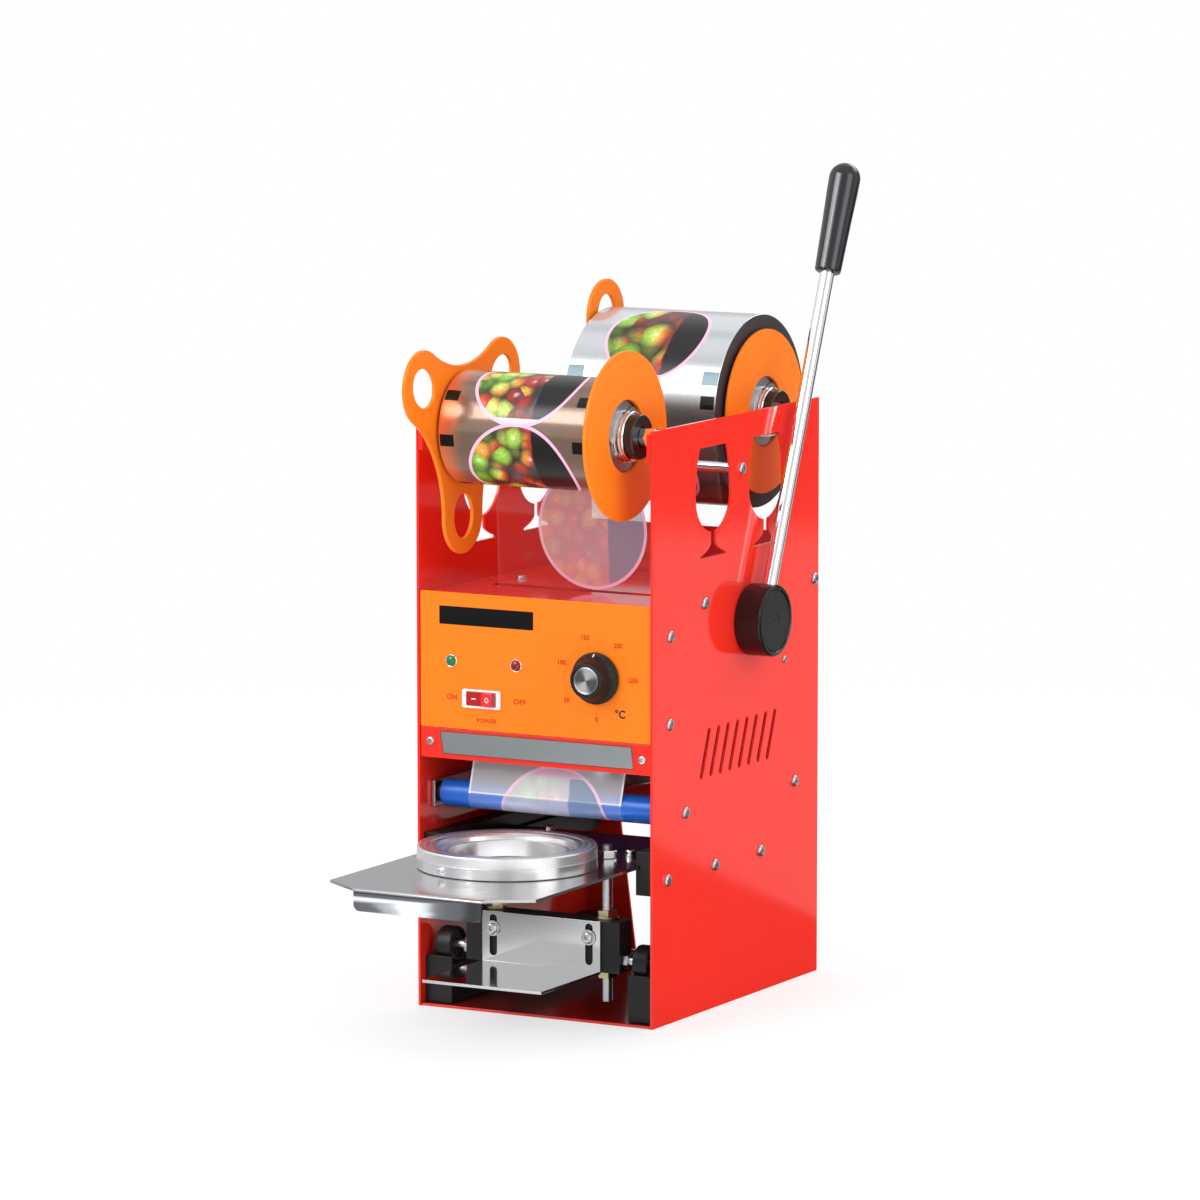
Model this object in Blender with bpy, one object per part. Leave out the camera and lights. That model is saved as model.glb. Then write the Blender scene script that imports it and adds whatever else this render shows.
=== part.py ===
"""Manual cup sealing machine: the solids, in metres, +Z up.

The origin is the centre of the housing's underside. X runs to the operator's right, -Y is the
front. A lever turns a cranked shaft that presses a heated head down on a cup; the cup hangs in a
ring on a sliding tray, and printed film runs from the rear roll, under the head, to the front roll.
"""
import math

import bmesh
import bpy
from mathutils import Matrix, Vector

# ---------------------------------------------------------------- driving dimensions (metres)
GAP = 0.0003                    # clearance between pieces that touch or rest on each other
SHEET = 0.002                   # sheet-metal thickness
HOUSING_WIDTH = 0.191
HOUSING_DEPTH = 0.256
HOUSING_HEIGHT = 0.425
REAR_PANEL_HEIGHT = 0.325
DECK_TOP = 0.300
GUARD_BOTTOM = 0.1813           # lower edge of the front film guard
PANEL_BOTTOM = 0.2037           # lower edge of the control panel
PANEL_TOP = 0.3015
DECK_SLOT_SETBACK = 0.058       # film slot behind the housing's front edge
DECK_SLOT_LENGTH = 0.011

FILM_WIDTH = 0.124
FILM_THICKNESS = 0.0003
FILM_MARGIN = 0.012             # film left outside the head on each side
FILM_HOLE_CLEARANCE = 0.0045    # punched hole beyond the head
CORE_RADIUS = 0.0395            # outside of the card core inside both film rolls
TAKEUP_RADIUS = 0.0403
SUPPLY_RADIUS = 0.0705
TAKEUP_SETBACK = 0.013          # roll axis behind the housing's front edge
TAKEUP_Z = 0.419
SUPPLY_SETBACK = 0.030          # roll axis ahead of the housing's rear edge
SUPPLY_Z = 0.416
ROLL_SHAFT_RADIUS = 0.0075

STAR_HOLE_CIRCLE = 0.064        # finger-hole centres from the axis
STAR_LOBE_RADIUS = 0.027
STAR_WAIST = 0.044              # axis to the middle of each hollow side
FLANGE_THICKNESS = 0.003
FLANGE_RADIUS = 0.060
FLANGE_HOLE_RADIUS = 0.0255

ROLLER_RADIUS = 0.00975
ROLLER_Z = 0.153
FRONT_ROLLER_SETBACK = 0.024
REAR_ROLLER_SETBACK = 0.023
GUIDE_ROD_Y = 0.073
GUIDE_ROD_Z = 0.239
GUIDE_ROD_RADIUS = 0.004
TIE_ROD_Y = 0.0055
TIE_ROD_Z = 0.3855
TIE_ROD_RADIUS = 0.004

HEAD_Y = -0.040                 # centre of the heated head
HEAD_PRESSED_Z = 0.132          # underside of the heating plate at the end of its stroke
CARRIER_RISE = 0.0385           # underside of the carrier above that of the heating plate
CARRIER_THICKNESS = 0.008
COLUMN_FRONT_REACH = 0.009      # column ahead of the crank pin's foremost place
COLUMN_BACK_REACH = 0.006       # column behind the crank pin at rest
CRANK_RADIUS = 0.025
CRANK_HALF_SWING = math.radians(36)
CRANK_ROLLER_RADIUS = 0.006
CRANK_PLAY = 0.0008             # roller to push pad, more than the crank's departure from a line
CRANK_TIP_RADIUS = 0.0072
CRANK_TO_DECK = 0.00110537      # the crank's tip at rest to the underside of the deck
SHAFT_Y = 0.0195
SHAFT_RADIUS = 0.008
BEARING_FLANGE_RADIUS = 0.020
GUIDE_POST_X = 0.070
GUIDE_POST_RADIUS = 0.006
POST_TO_DECK = 0.003
BRIDGE_BOTTOM = 0.222
BRIDGE_THICKNESS = 0.006

LEVER_LEAN = math.radians(22.35)
LEVER_LENGTH = 0.345            # shaft axis to the tip of the grip
LEVER_HUB_RADIUS = 0.026
LEVER_HUB_THICKNESS = 0.0208
LEVER_ROD_RADIUS = 0.00525
GRIP_LENGTH = 0.083
GRIP_RADIUS_LOW = 0.0095
GRIP_RADIUS_TOP = 0.0115

TRAY_TOP = 0.1155
TRAY_SHEET = 0.002
TRAY_OVERHANG = 0.127           # tray's front edge ahead of the ring's centre
TRAY_LENGTH = 0.283
TRAY_LIP_HALF = 0.051
TRAY_LIP_HEIGHT = 0.016
TRAY_CHAMFER = 0.021
RING_AHEAD = 0.060              # ring's centre ahead of the wheels
RING_FLANGE = 0.014             # ring's outside beyond the head
RING_HEIGHT = 0.0157
RING_SEAT_MARGIN = 0.0015       # the head beyond the cup's seat, which it presses on
RING_SEAT_LEDGE = 0.0075        # seat to bore
RING_SEAT_DEPTH = 0.004
RAIL_WIDTH = 0.014              # upper rails
RAIL_BOTTOM = 0.0945
RAIL_TOP = 0.126
RAIL_OVERLAP = 0.003            # tray edge inside the rail's groove
TRACK_WIDTH = 0.0215            # lower rails
TRACK_TOP = 0.0305
TRACK_STOP_TOP = 0.0364
TRACK_SETBACK = 0.006           # track's front end behind the housing's front edge
TRACK_STOP_THICKNESS = 0.0025
WHEEL_RADIUS = 0.0130
WHEEL_WIDTH = 0.012
WHEEL_STOP_PLAY = 0.0006101     # wheel to the stop's top edge, with the tray out
BAR_HALF_LENGTH = 0.0625
BAR_DEPTH = 0.018
BAR_BOTTOM = 0.035
BAR_TOP = 0.072
HANGER_X = 0.045
HANGER_SETBACK = 0.005          # hanger rods behind the wheels' pins, to pass them
HANGER_RADIUS = 0.004
HANGER_BOTTOM = 0.012
SUPPORT_HALF_WIDTH = 0.048
SUPPORT_BOTTOM = 0.034
SUPPORT_REACH = 0.086
SLOT_X = 0.039
SLOT_LOW = 0.040
SLOT_HIGH = 0.070
SLOT_HALF_WIDTH = 0.003
SLOT_SCREW_Z = 0.060
SLOT_SCREW_RADIUS = 0.0024

LAMP_RADIUS = 0.00435
GREEN_LAMP = (-0.0675, 0.2524)
RED_LAMP = (-0.0147, 0.2524)
SWITCH_CENTRE = (-0.04275, 0.22635)
SWITCH_BEZEL = (0.031, 0.0134)
SWITCH_BODY = (0.0285, 0.0110)
ROCKER_SIZE = (0.0228, 0.0098)
ROCKER_TILT = math.radians(10)
KNOB_CENTRE = (0.050, 0.248)
KNOB_RADIUS = 0.0185
KNOB_HEIGHT = 0.016
INLET_CENTRE = (-0.060, 0.210)

ROUND = 20                      # sides of a large round piece
SMALL_ROUND = 10                # sides of a small round piece
FINE_ROUND = 32                 # sides of a wide ring or disc

# ---------------------------------------------------------------- places that follow from them
OUTER_X = HOUSING_WIDTH / 2
INNER_X = OUTER_X - SHEET
FRONT_Y = -HOUSING_DEPTH / 2
BACK_Y = HOUSING_DEPTH / 2
INSIDE_X = INNER_X - GAP        # what lies against a side panel ends here
PANEL_FRONT = FRONT_Y + GAP
PANEL_BACK = PANEL_FRONT + SHEET
TAKEUP_AXIS = (FRONT_Y + TAKEUP_SETBACK, TAKEUP_Z)
SUPPLY_AXIS = (BACK_Y - SUPPLY_SETBACK, SUPPLY_Z)
FRONT_ROLLER_AXIS = (FRONT_Y + FRONT_ROLLER_SETBACK, ROLLER_Z)
REAR_ROLLER_AXIS = (BACK_Y - REAR_ROLLER_SETBACK, ROLLER_Z)
FILM_OFFSET = GAP + FILM_THICKNESS / 2
FILM_HALF = FILM_WIDTH / 2
DECK_BOTTOM = DECK_TOP - SHEET
DECK_SLOT_FRONT = FRONT_Y + DECK_SLOT_SETBACK

HEAD_RADIUS = FILM_HALF - FILM_MARGIN
RING_RADIUS = HEAD_RADIUS + RING_FLANGE
RING_SEAT_RADIUS = HEAD_RADIUS - RING_SEAT_MARGIN
RING_BORE_RADIUS = RING_SEAT_RADIUS - RING_SEAT_LEDGE
STROKE = 2 * CRANK_RADIUS * math.sin(CRANK_HALF_SWING)
HEAD_Z = HEAD_PRESSED_Z + STROKE
CARRIER_BOTTOM = HEAD_Z + CARRIER_RISE
PIN_REST_Z = DECK_BOTTOM - CRANK_TO_DECK - CRANK_TIP_RADIUS
SHAFT_Z = PIN_REST_Z - CRANK_RADIUS * math.sin(CRANK_HALF_SWING)
PIN_REST_Y = SHAFT_Y - CRANK_RADIUS * math.cos(CRANK_HALF_SWING)
COLUMN_FRONT = SHAFT_Y - CRANK_RADIUS - COLUMN_FRONT_REACH
COLUMN_BACK = PIN_REST_Y + COLUMN_BACK_REACH
POST_TOP = DECK_BOTTOM - POST_TO_DECK

TRAY_HALF = INSIDE_X - RAIL_WIDTH + RAIL_OVERLAP
TRACK_FRONT = FRONT_Y + TRACK_SETBACK
TRACK_STOP_BACK = TRACK_FRONT + TRACK_STOP_THICKNESS
WHEEL_Z = TRACK_TOP + WHEEL_RADIUS
WHEEL_REACH = math.sqrt(WHEEL_RADIUS ** 2 - (WHEEL_Z - TRACK_STOP_TOP) ** 2)
WHEEL_Y = TRACK_STOP_BACK + WHEEL_STOP_PLAY + WHEEL_REACH
BAR_FRONT = WHEEL_Y - BAR_DEPTH / 2
RING_Y = WHEEL_Y - RING_AHEAD
TRAY_FRONT = RING_Y - TRAY_OVERHANG
HANGER_Y = WHEEL_Y + HANGER_SETBACK

# ---------------------------------------------------------------- finishes
FINISHES = {
    "red_paint": ((0.84, 0.03, 0.02), 0.0, 0.22),
    "steel": ((0.62, 0.62, 0.64), 1.0, 0.32),
    "mirror_steel": ((0.76, 0.77, 0.78), 1.0, 0.10),
    "chrome": ((0.85, 0.85, 0.87), 1.0, 0.06),
    "aluminium": ((0.80, 0.80, 0.81), 1.0, 0.25),
    "black_plastic": ((0.015, 0.015, 0.017), 0.0, 0.42),
    "orange_plastic": ((1.0, 0.24, 0.03), 0.0, 0.35),
    "blue_rubber": ((0.01, 0.10, 0.50), 0.0, 0.40),
    "film": ((0.70, 0.68, 0.66), 0.2, 0.20),
    "white_plastic": ((0.85, 0.85, 0.85), 0.0, 0.35),
    "red_lens": ((0.60, 0.01, 0.01), 0.0, 0.15),
    "green_lens": ((0.02, 0.32, 0.08), 0.0, 0.15),
    "spring_steel": ((0.45, 0.45, 0.47), 1.0, 0.30),
}


def finish(name):
    material = bpy.data.materials.get(name)
    if material is None:
        colour, metallic, roughness = FINISHES[name]
        material = bpy.data.materials.new(name)
        material.use_nodes = True
        shader = material.node_tree.nodes["Principled BSDF"]
        shader.inputs["Base Color"].default_value = (*colour, 1.0)
        shader.inputs["Metallic"].default_value = metallic
        shader.inputs["Roughness"].default_value = roughness
    return material


# ---------------------------------------------------------------- modelling helpers
def clear_scene():
    for item in list(bpy.data.objects):
        bpy.data.objects.remove(item, do_unlink=True)


def turn_to(axis):
    """The matrix that takes local Z to the named axis, keeping the order (u, v, axis)."""
    columns = {"Z": ((1, 0, 0), (0, 1, 0), (0, 0, 1)),
               "X": ((0, 1, 0), (0, 0, 1), (1, 0, 0)),
               "Y": ((0, 0, 1), (1, 0, 0), (0, 1, 0))}[axis]
    return Matrix(columns).transposed().to_4x4()


def new_object(name, bm, colour):
    bmesh.ops.recalc_face_normals(bm, faces=bm.faces)
    mesh = bpy.data.meshes.new(name)
    bm.to_mesh(mesh)
    bm.free()
    mesh.shade_smooth()
    mesh.set_sharp_from_angle(angle=math.radians(35))
    item = bpy.data.objects.new(name, mesh)
    bpy.context.collection.objects.link(item)
    item.data.materials.append(finish(colour))
    return item


def prism(name, outline, low, high, axis="Z", colour="steel"):
    """An outline of (u, v) points, extruded along the axis from low to high."""
    bm = bmesh.new()
    face = bm.faces.new([bm.verts.new((u, v, low)) for u, v in outline])
    extruded = bmesh.ops.extrude_face_region(bm, geom=[face])
    moved = [part for part in extruded["geom"] if isinstance(part, bmesh.types.BMVert)]
    bmesh.ops.translate(bm, verts=moved, vec=(0, 0, high - low))
    bmesh.ops.transform(bm, matrix=turn_to(axis), verts=bm.verts)
    return new_object(name, bm, colour)


def block(name, low, high, colour="steel"):
    outline = [(low[0], low[1]), (high[0], low[1]), (high[0], high[1]), (low[0], high[1])]
    return prism(name, outline, low[2], high[2], colour=colour)


def turned(name, profile, centre, axis="Z", colour="steel", sides=ROUND):
    """A profile of (radius, height) points spun about an axis through the centre.

    A profile that starts and ends on the axis is a solid; any other is closed into a ring.
    """
    bm = bmesh.new()
    points = [bm.verts.new((radius, 0, height)) for radius, height in profile]
    edges = [bm.edges.new(pair) for pair in zip(points, points[1:])]
    if profile[0][0] > 0 or profile[-1][0] > 0:
        edges.append(bm.edges.new((points[-1], points[0])))
    bmesh.ops.spin(bm, geom=points + edges, cent=(0, 0, 0), axis=(0, 0, 1),
                   angle=2 * math.pi, steps=sides, use_merge=True)
    bmesh.ops.remove_doubles(bm, verts=bm.verts, dist=1e-6)
    bmesh.ops.transform(bm, matrix=Matrix.Translation(centre) @ turn_to(axis), verts=bm.verts)
    return new_object(name, bm, colour)


def rod(name, radius, low, high, centre, axis="Z", colour="steel", sides=ROUND):
    """A plain cylinder; low and high are heights along the axis, from the centre."""
    profile = [(0, low), (radius, low), (radius, high), (0, high)]
    return turned(name, profile, centre, axis, colour, sides)


def tube(name, inner, outer, low, high, centre, axis="Z", colour="steel", sides=ROUND):
    profile = [(inner, low), (outer, low), (outer, high), (inner, high)]
    return turned(name, profile, centre, axis, colour, sides)


def combine(target, tool, operation):
    """Cuts the tool from the target, or joins it on, and keeps the tool as a guide."""
    tool.hide_render = True
    tool.display_type = "WIRE"
    modifier = target.modifiers.new(tool.name, "BOOLEAN")
    modifier.operation = operation
    modifier.solver = "EXACT"
    modifier.object = tool
    return target


def cut(target, *tools):
    for tool in tools:
        combine(target, tool, "DIFFERENCE")
    return target


def join(target, *tools):
    for tool in tools:
        combine(target, tool, "UNION")
    return target


def pivot(name, place, items):
    """An empty on a joint's axis that carries the pieces of one moving body."""
    empty = bpy.data.objects.new(name, None)
    empty.empty_display_size = 0.02
    empty.location = place
    bpy.context.collection.objects.link(empty)
    for item in items:
        item.parent = empty
        item.location = item.location - Vector(place)
    return empty


def hexagon(across, centre=(0.0, 0.0)):
    radius = across / math.sqrt(3)
    turns = [math.radians(60 * step) for step in range(6)]
    return [(centre[0] + radius * math.cos(t), centre[1] + radius * math.sin(t)) for t in turns]


def arc(centre, radius, start, end, steps):
    """Points on an arc in degrees, both ends included."""
    angles = [math.radians(start + (end - start) * step / steps) for step in range(steps + 1)]
    return [(centre[0] + radius * math.cos(a), centre[1] + radius * math.sin(a)) for a in angles]


# ---------------------------------------------------------------- housing
def glass_outline(centre_y):
    """Half a stemmed glass as a half-width over height, mirrored about its centre line."""
    widest_z, widest, bowl_depth, shoulder = 0.371, 0.027, 0.026, 0.0538
    stem, foot, foot_z, foot_rise, rim_z = 0.0035, 0.0195, 0.327, 0.009, 0.406
    half = [(foot, foot_z), (foot, foot_z + 0.0015)]
    for step in range(1, 6):
        share = step / 5
        half.append((stem + (foot - stem) * (1 - share) ** 2, foot_z + 0.0015 + foot_rise * share))
    start = math.asin(stem / widest)
    for step in range(11):
        angle = start + (math.pi / 2 - start) * step / 10
        half.append((widest * math.sin(angle), widest_z - bowl_depth * math.cos(angle)))
    for step in range(1, 7):
        rise = (rim_z - widest_z) * step / 6
        half.append((widest * math.sqrt(1 - (rise / shoulder) ** 2), widest_z + rise))
    right = [(centre_y + width, z) for width, z in half]
    left = [(centre_y - width, z) for width, z in reversed(half)]
    return right + left


def vent_slot(index):
    """One of the slanted slots: a parallelogram leaning towards the rear as it rises."""
    pitch, half, low, high, lean = 0.0146, 0.00225, 0.169, 0.2045, 0.0135
    foot = -0.056 + pitch * index
    return [(foot - half, low), (foot + half, low), (foot + lean + half, high), (foot + lean - half, high)]


def saddle(name, axis_point, side):
    """An open-topped block welded inside a side panel, which a roll's shaft drops into."""
    y, z = axis_point
    half, drop, rise = 0.014, 0.017, 0.004
    notch = ROLL_SHAFT_RADIUS + GAP
    outline = [(y - half, z + rise), (y - half, z - drop), (y + half, z - drop), (y + half, z + rise)]
    outline.append((y + notch, z + rise))
    outline += arc((y, z), notch, 0, -180, 12)
    outline.append((y - notch, z + rise))
    ends = sorted((side * (INNER_X - 0.0095), side * (INNER_X + SHEET / 2)))
    return prism(name, outline, ends[0], ends[1], "X", "red_paint")


def side_panel(name, side):
    ends = sorted((side * INNER_X, side * OUTER_X))
    outline = [(FRONT_Y, 0), (BACK_Y, 0), (BACK_Y, HOUSING_HEIGHT), (FRONT_Y, HOUSING_HEIGHT)]
    panel = prism(name, outline, ends[0], ends[1], "X", "red_paint")
    reach = (ends[0] - SHEET, ends[1] + SHEET)
    for centre_y in (-0.0375, 0.044):
        cut(panel, prism(f"{name}_glass", glass_outline(centre_y), *reach, "X"))
    for index in range(8):
        cut(panel, prism(f"{name}_vent", vent_slot(index), *reach, "X"))
    hole = rod(f"{name}_hole", SHAFT_RADIUS + 0.006, *reach, (0, SHAFT_Y, SHAFT_Z), "X", sides=ROUND)
    cut(panel, hole)
    join(panel, saddle(f"{name}_front_saddle", TAKEUP_AXIS, side))
    join(panel, saddle(f"{name}_rear_saddle", SUPPLY_AXIS, side))
    return panel


def base_plate():
    return block("base_plate", (-INSIDE_X, PANEL_FRONT, 0), (INSIDE_X, BACK_Y - GAP, SHEET), "red_paint")


def rear_panel():
    low = (-INSIDE_X, BACK_Y - GAP - SHEET, SHEET + GAP)
    high = (INSIDE_X, BACK_Y - GAP, REAR_PANEL_HEIGHT)
    panel = block("rear_panel", low, high, "red_paint")
    flare, foot, top = 0.068, 0.055, 0.098
    opening = [(-foot, -SHEET), (foot, -SHEET), (flare, top), (-flare, top)]
    # an outline on the Y axis is given as (z, x)
    opening = [(z, x) for x, z in opening]
    cut(panel, prism("rear_panel_opening", opening, low[1] - SHEET, high[1] + SHEET, "Y"))
    x, z = INLET_CENTRE
    window = block("rear_panel_inlet", (x - 0.0142, low[1] - SHEET, z - 0.0102),
                   (x + 0.0142, high[1] + SHEET, z + 0.0102))
    return cut(panel, window)


def channel(name, low, high, wall, rise, colour):
    """A plate with a flange up or down (rise above or below zero) along both ends in X."""
    base, top = low[2], high[2]
    inner = high[0] - wall
    outline = [(base, low[0]), (top, low[0]), (top, high[0]), (base, high[0])]
    if rise > 0:
        outline = [(base, low[0]), (top + rise, low[0]), (top + rise, -inner), (top, -inner),
                   (top, inner), (top + rise, inner), (top + rise, high[0]), (base, high[0])]
    if rise < 0:
        outline = [(base + rise, low[0]), (top, low[0]), (top, high[0]), (base + rise, high[0]),
                   (base + rise, inner), (base, inner), (base, -inner), (base + rise, -inner)]
    return prism(name, outline, low[1], high[1], "Y", colour)


def top_deck():
    front, back = PANEL_BACK + GAP, BACK_Y - 2 * GAP - SHEET
    flange_front = front + 0.031
    deck = channel("top_deck", (-INSIDE_X, front, DECK_BOTTOM), (INSIDE_X, back, DECK_TOP), SHEET, -0.012,
                   "red_paint")
    bearing = (SHAFT_Y - BEARING_FLANGE_RADIUS - 0.001, SHAFT_Y + BEARING_FLANGE_RADIUS + 0.001)
    for low, high in ((front - SHEET, flange_front), bearing):
        cut(deck, block("top_deck_relief", (-OUTER_X, low, DECK_BOTTOM - 0.020),
                        (OUTER_X, high, DECK_BOTTOM - 1e-5)))
    slot_half = FILM_HALF + 0.006
    for low, high in ((DECK_SLOT_FRONT, DECK_SLOT_FRONT + DECK_SLOT_LENGTH), rear_slot()):
        slot = block("top_deck_slot", (-slot_half, low, DECK_BOTTOM - SHEET),
                     (slot_half, high, DECK_TOP + SHEET))
        cut(deck, slot)
    return deck


def control_panel():
    panel = block("control_panel", (-INSIDE_X, PANEL_FRONT, PANEL_BOTTOM), (INSIDE_X, PANEL_BACK, PANEL_TOP),
                  "red_paint")
    tab_bottom = GUARD_BOTTOM + 0.0045
    for side in (-1, 1):
        ends = sorted((side * INSIDE_X, side * (INSIDE_X - SHEET)))
        flange = block("control_panel_flange", (ends[0], PANEL_BACK + GAP, tab_bottom),
                       (ends[1], PANEL_BACK + 0.029, DECK_BOTTOM - GAP))
        root = block("control_panel_bend", (ends[0], PANEL_BACK - SHEET / 2, PANEL_BOTTOM + GAP),
                     (ends[1], PANEL_BACK + SHEET, DECK_BOTTOM - 2 * GAP))
        ends = sorted((side * (INSIDE_X - SHEET / 2), side * (INSIDE_X - 0.014)))
        tab = block("control_panel_tab", (ends[0], PANEL_BACK + GAP, tab_bottom),
                    (ends[1], PANEL_BACK + GAP + SHEET, PANEL_BOTTOM + 0.006))
        join(panel, flange, root, tab)
    reach = (PANEL_FRONT - SHEET, PANEL_BACK + SHEET / 2)
    for x, z in (GREEN_LAMP, RED_LAMP, KNOB_CENTRE):
        cut(panel, rod("control_panel_hole", LAMP_RADIUS + GAP, *reach, (x, 0, z), "Y", sides=SMALL_ROUND))
    x, z = SWITCH_CENTRE
    width, height = SWITCH_BODY[0] / 2 + GAP, SWITCH_BODY[1] / 2 + GAP
    return cut(panel, block("control_panel_window", (x - width, reach[0], z - height),
                            (x + width, reach[1], z + height)))


def film_guard():
    """The strip below the control panel, hemmed backwards along its lower edge."""
    top = PANEL_BOTTOM - GAP
    guard = block("film_guard", (-INSIDE_X, PANEL_FRONT, GUARD_BOTTOM), (INSIDE_X, PANEL_BACK, top),
                  "red_paint")
    hem = block("film_guard_hem", (-INSIDE_X, PANEL_BACK - SHEET / 2, GUARD_BOTTOM),
                (INSIDE_X, PANEL_BACK + 0.006, GUARD_BOTTOM + SHEET))
    return join(guard, hem)


def housing_rods():
    reach = (-INSIDE_X, INSIDE_X)
    rod("tie_rod", TIE_ROD_RADIUS, *reach, (0, TIE_ROD_Y, TIE_ROD_Z), "X", "chrome", SMALL_ROUND)
    rod("film_guide_rod", GUIDE_ROD_RADIUS, *reach, (0, GUIDE_ROD_Y, GUIDE_ROD_Z), "X", "steel", SMALL_ROUND)


# ---------------------------------------------------------------- controls
def lamp(name, place, colour):
    front = PANEL_FRONT - GAP
    profile = [(0, front - 0.0035), (0.0022, front - 0.0031), (0.0038, front - 0.0018),
               (LAMP_RADIUS + 0.0012, front - 0.0008), (LAMP_RADIUS + 0.0012, front),
               (LAMP_RADIUS, front), (LAMP_RADIUS, front + 0.016), (0, front + 0.016)]
    return turned(name, profile, (place[0], 0, place[1]), "Y", colour, SMALL_ROUND)


def switch_housing():
    x, z = SWITCH_CENTRE
    front, depth = PANEL_FRONT - GAP, 0.020
    width, height = SWITCH_BEZEL[0] / 2, SWITCH_BEZEL[1] / 2
    housing = block("switch_housing", (x - width, front - 0.0016, z - height), (x + width, front, z + height),
                    "white_plastic")
    width, height = SWITCH_BODY[0] / 2, SWITCH_BODY[1] / 2
    join(housing, block("switch_housing_body", (x - width, front - SHEET / 2, z - height),
                        (x + width, front + depth, z + height)))
    width, height = ROCKER_SIZE[0] / 2 + 0.0006, ROCKER_SIZE[1] / 2 + GAP
    return cut(housing, block("switch_housing_well", (x - width, front - 0.004, z - height),
                              (x + width, front + 0.009, z + height)))


def switch_rocker():
    """A wedge-faced rocker that turns about a vertical axis, its left half pressed in."""
    x, z = SWITCH_CENTRE
    half, height = ROCKER_SIZE[0] / 2, ROCKER_SIZE[1] / 2
    bend = math.tan(ROCKER_TILT)
    face, back = -0.0030, 0.0042
    # (x, y) outline about the pivot, before the tilt: two flat halves that meet in a shallow vee
    outline = [(-half, face - half * bend), (0, face), (half, face - half * bend),
               (half * 0.72, 0.0), (half * 0.30, back), (-half * 0.30, back), (-half * 0.72, 0.0)]
    turn = Matrix.Rotation(-ROCKER_TILT, 2)
    tilted = [tuple(turn @ Vector(point)) for point in outline]
    pivot_y = PANEL_FRONT - GAP + 0.0012
    placed = [(x + u, pivot_y + v) for u, v in tilted]
    rocker = prism("switch_rocker", placed, z - height, z + height, colour="red_lens")
    pivot("rocker_pivot", (x, pivot_y, z), [rocker])
    return rocker


def thermostat():
    x, z = KNOB_CENTRE
    low = (x - 0.019, PANEL_BACK + GAP, z - 0.019)
    body = block("thermostat_body", low, (x + 0.019, low[1] + 0.024, z + 0.019), "black_plastic")
    cut(body, rod("thermostat_bore", 0.0034, low[1] - 0.001, low[1] + 0.012, (x, 0, z), "Y",
                  sides=SMALL_ROUND))
    front = PANEL_FRONT - 0.001
    waist, lip = KNOB_RADIUS * 0.93, 0.0025
    profile = [(0, front - KNOB_HEIGHT), (waist - 0.002, front - KNOB_HEIGHT),
               (waist, front - KNOB_HEIGHT + 0.001),
               (waist + 0.0006, front - lip - 0.001), (KNOB_RADIUS, front - lip), (KNOB_RADIUS, front),
               (0.003, front), (0.003, low[1] + 0.0115), (0, low[1] + 0.0115)]
    knob = turned("dial_knob", profile, (x, 0, z), "Y", "black_plastic", ROUND)
    pivot("dial_pivot", (x, front, z), [knob])


def power_inlet():
    """A three-pin inlet socket in the rear panel."""
    x, z = INLET_CENTRE
    face = BACK_Y
    inlet = block("power_inlet", (x - 0.0165, face, z - 0.0125), (x + 0.0165, face + 0.003, z + 0.0125),
                  "black_plastic")
    join(inlet, block("power_inlet_body", (x - 0.0135, face - 0.022, z - 0.0098),
                      (x + 0.0135, face + SHEET / 2, z + 0.0098)))
    cut(inlet, block("power_inlet_well", (x - 0.0115, face - 0.016, z - 0.0078),
                     (x + 0.0115, face + 0.006, z + 0.0078)))
    for across, up in ((-0.007, -0.002), (0.007, -0.002), (0, 0.002)):
        join(inlet, block("power_inlet_pin", (x + across - 0.001, face - 0.018, z + up - 0.002),
                          (x + across + 0.001, face - 0.001, z + up + 0.002)))
    return inlet


# ---------------------------------------------------------------- rails, tray and cup carrier
def upper_rail(name, side):
    ends = sorted((side * INSIDE_X, side * (INSIDE_X - RAIL_WIDTH)))
    front = FRONT_Y + 0.004
    rail = block(name, (ends[0], front, RAIL_BOTTOM), (ends[1], BACK_Y - 0.015, RAIL_TOP), "black_plastic")
    ends = sorted((side * (TRAY_HALF + GAP), side * (INSIDE_X - RAIL_WIDTH - SHEET)))
    groove = block(f"{name}_groove", (ends[0], front - SHEET, TRAY_TOP - TRAY_SHEET - GAP),
                   (ends[1], BACK_Y, TRAY_TOP + GAP))
    return cut(rail, groove)


def lower_rail(name, side):
    """A track for one wheel, with a low stop at its front end."""
    back, bottom = BACK_Y - 0.010, SHEET + GAP
    outline = [(TRACK_FRONT, bottom), (back, bottom), (back, TRACK_TOP), (TRACK_STOP_BACK, TRACK_TOP),
               (TRACK_STOP_BACK, TRACK_STOP_TOP), (TRACK_FRONT, TRACK_STOP_TOP)]
    ends = sorted((side * INSIDE_X, side * (INSIDE_X - TRACK_WIDTH)))
    return prism(name, outline, ends[0], ends[1], "X", "black_plastic")


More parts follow.
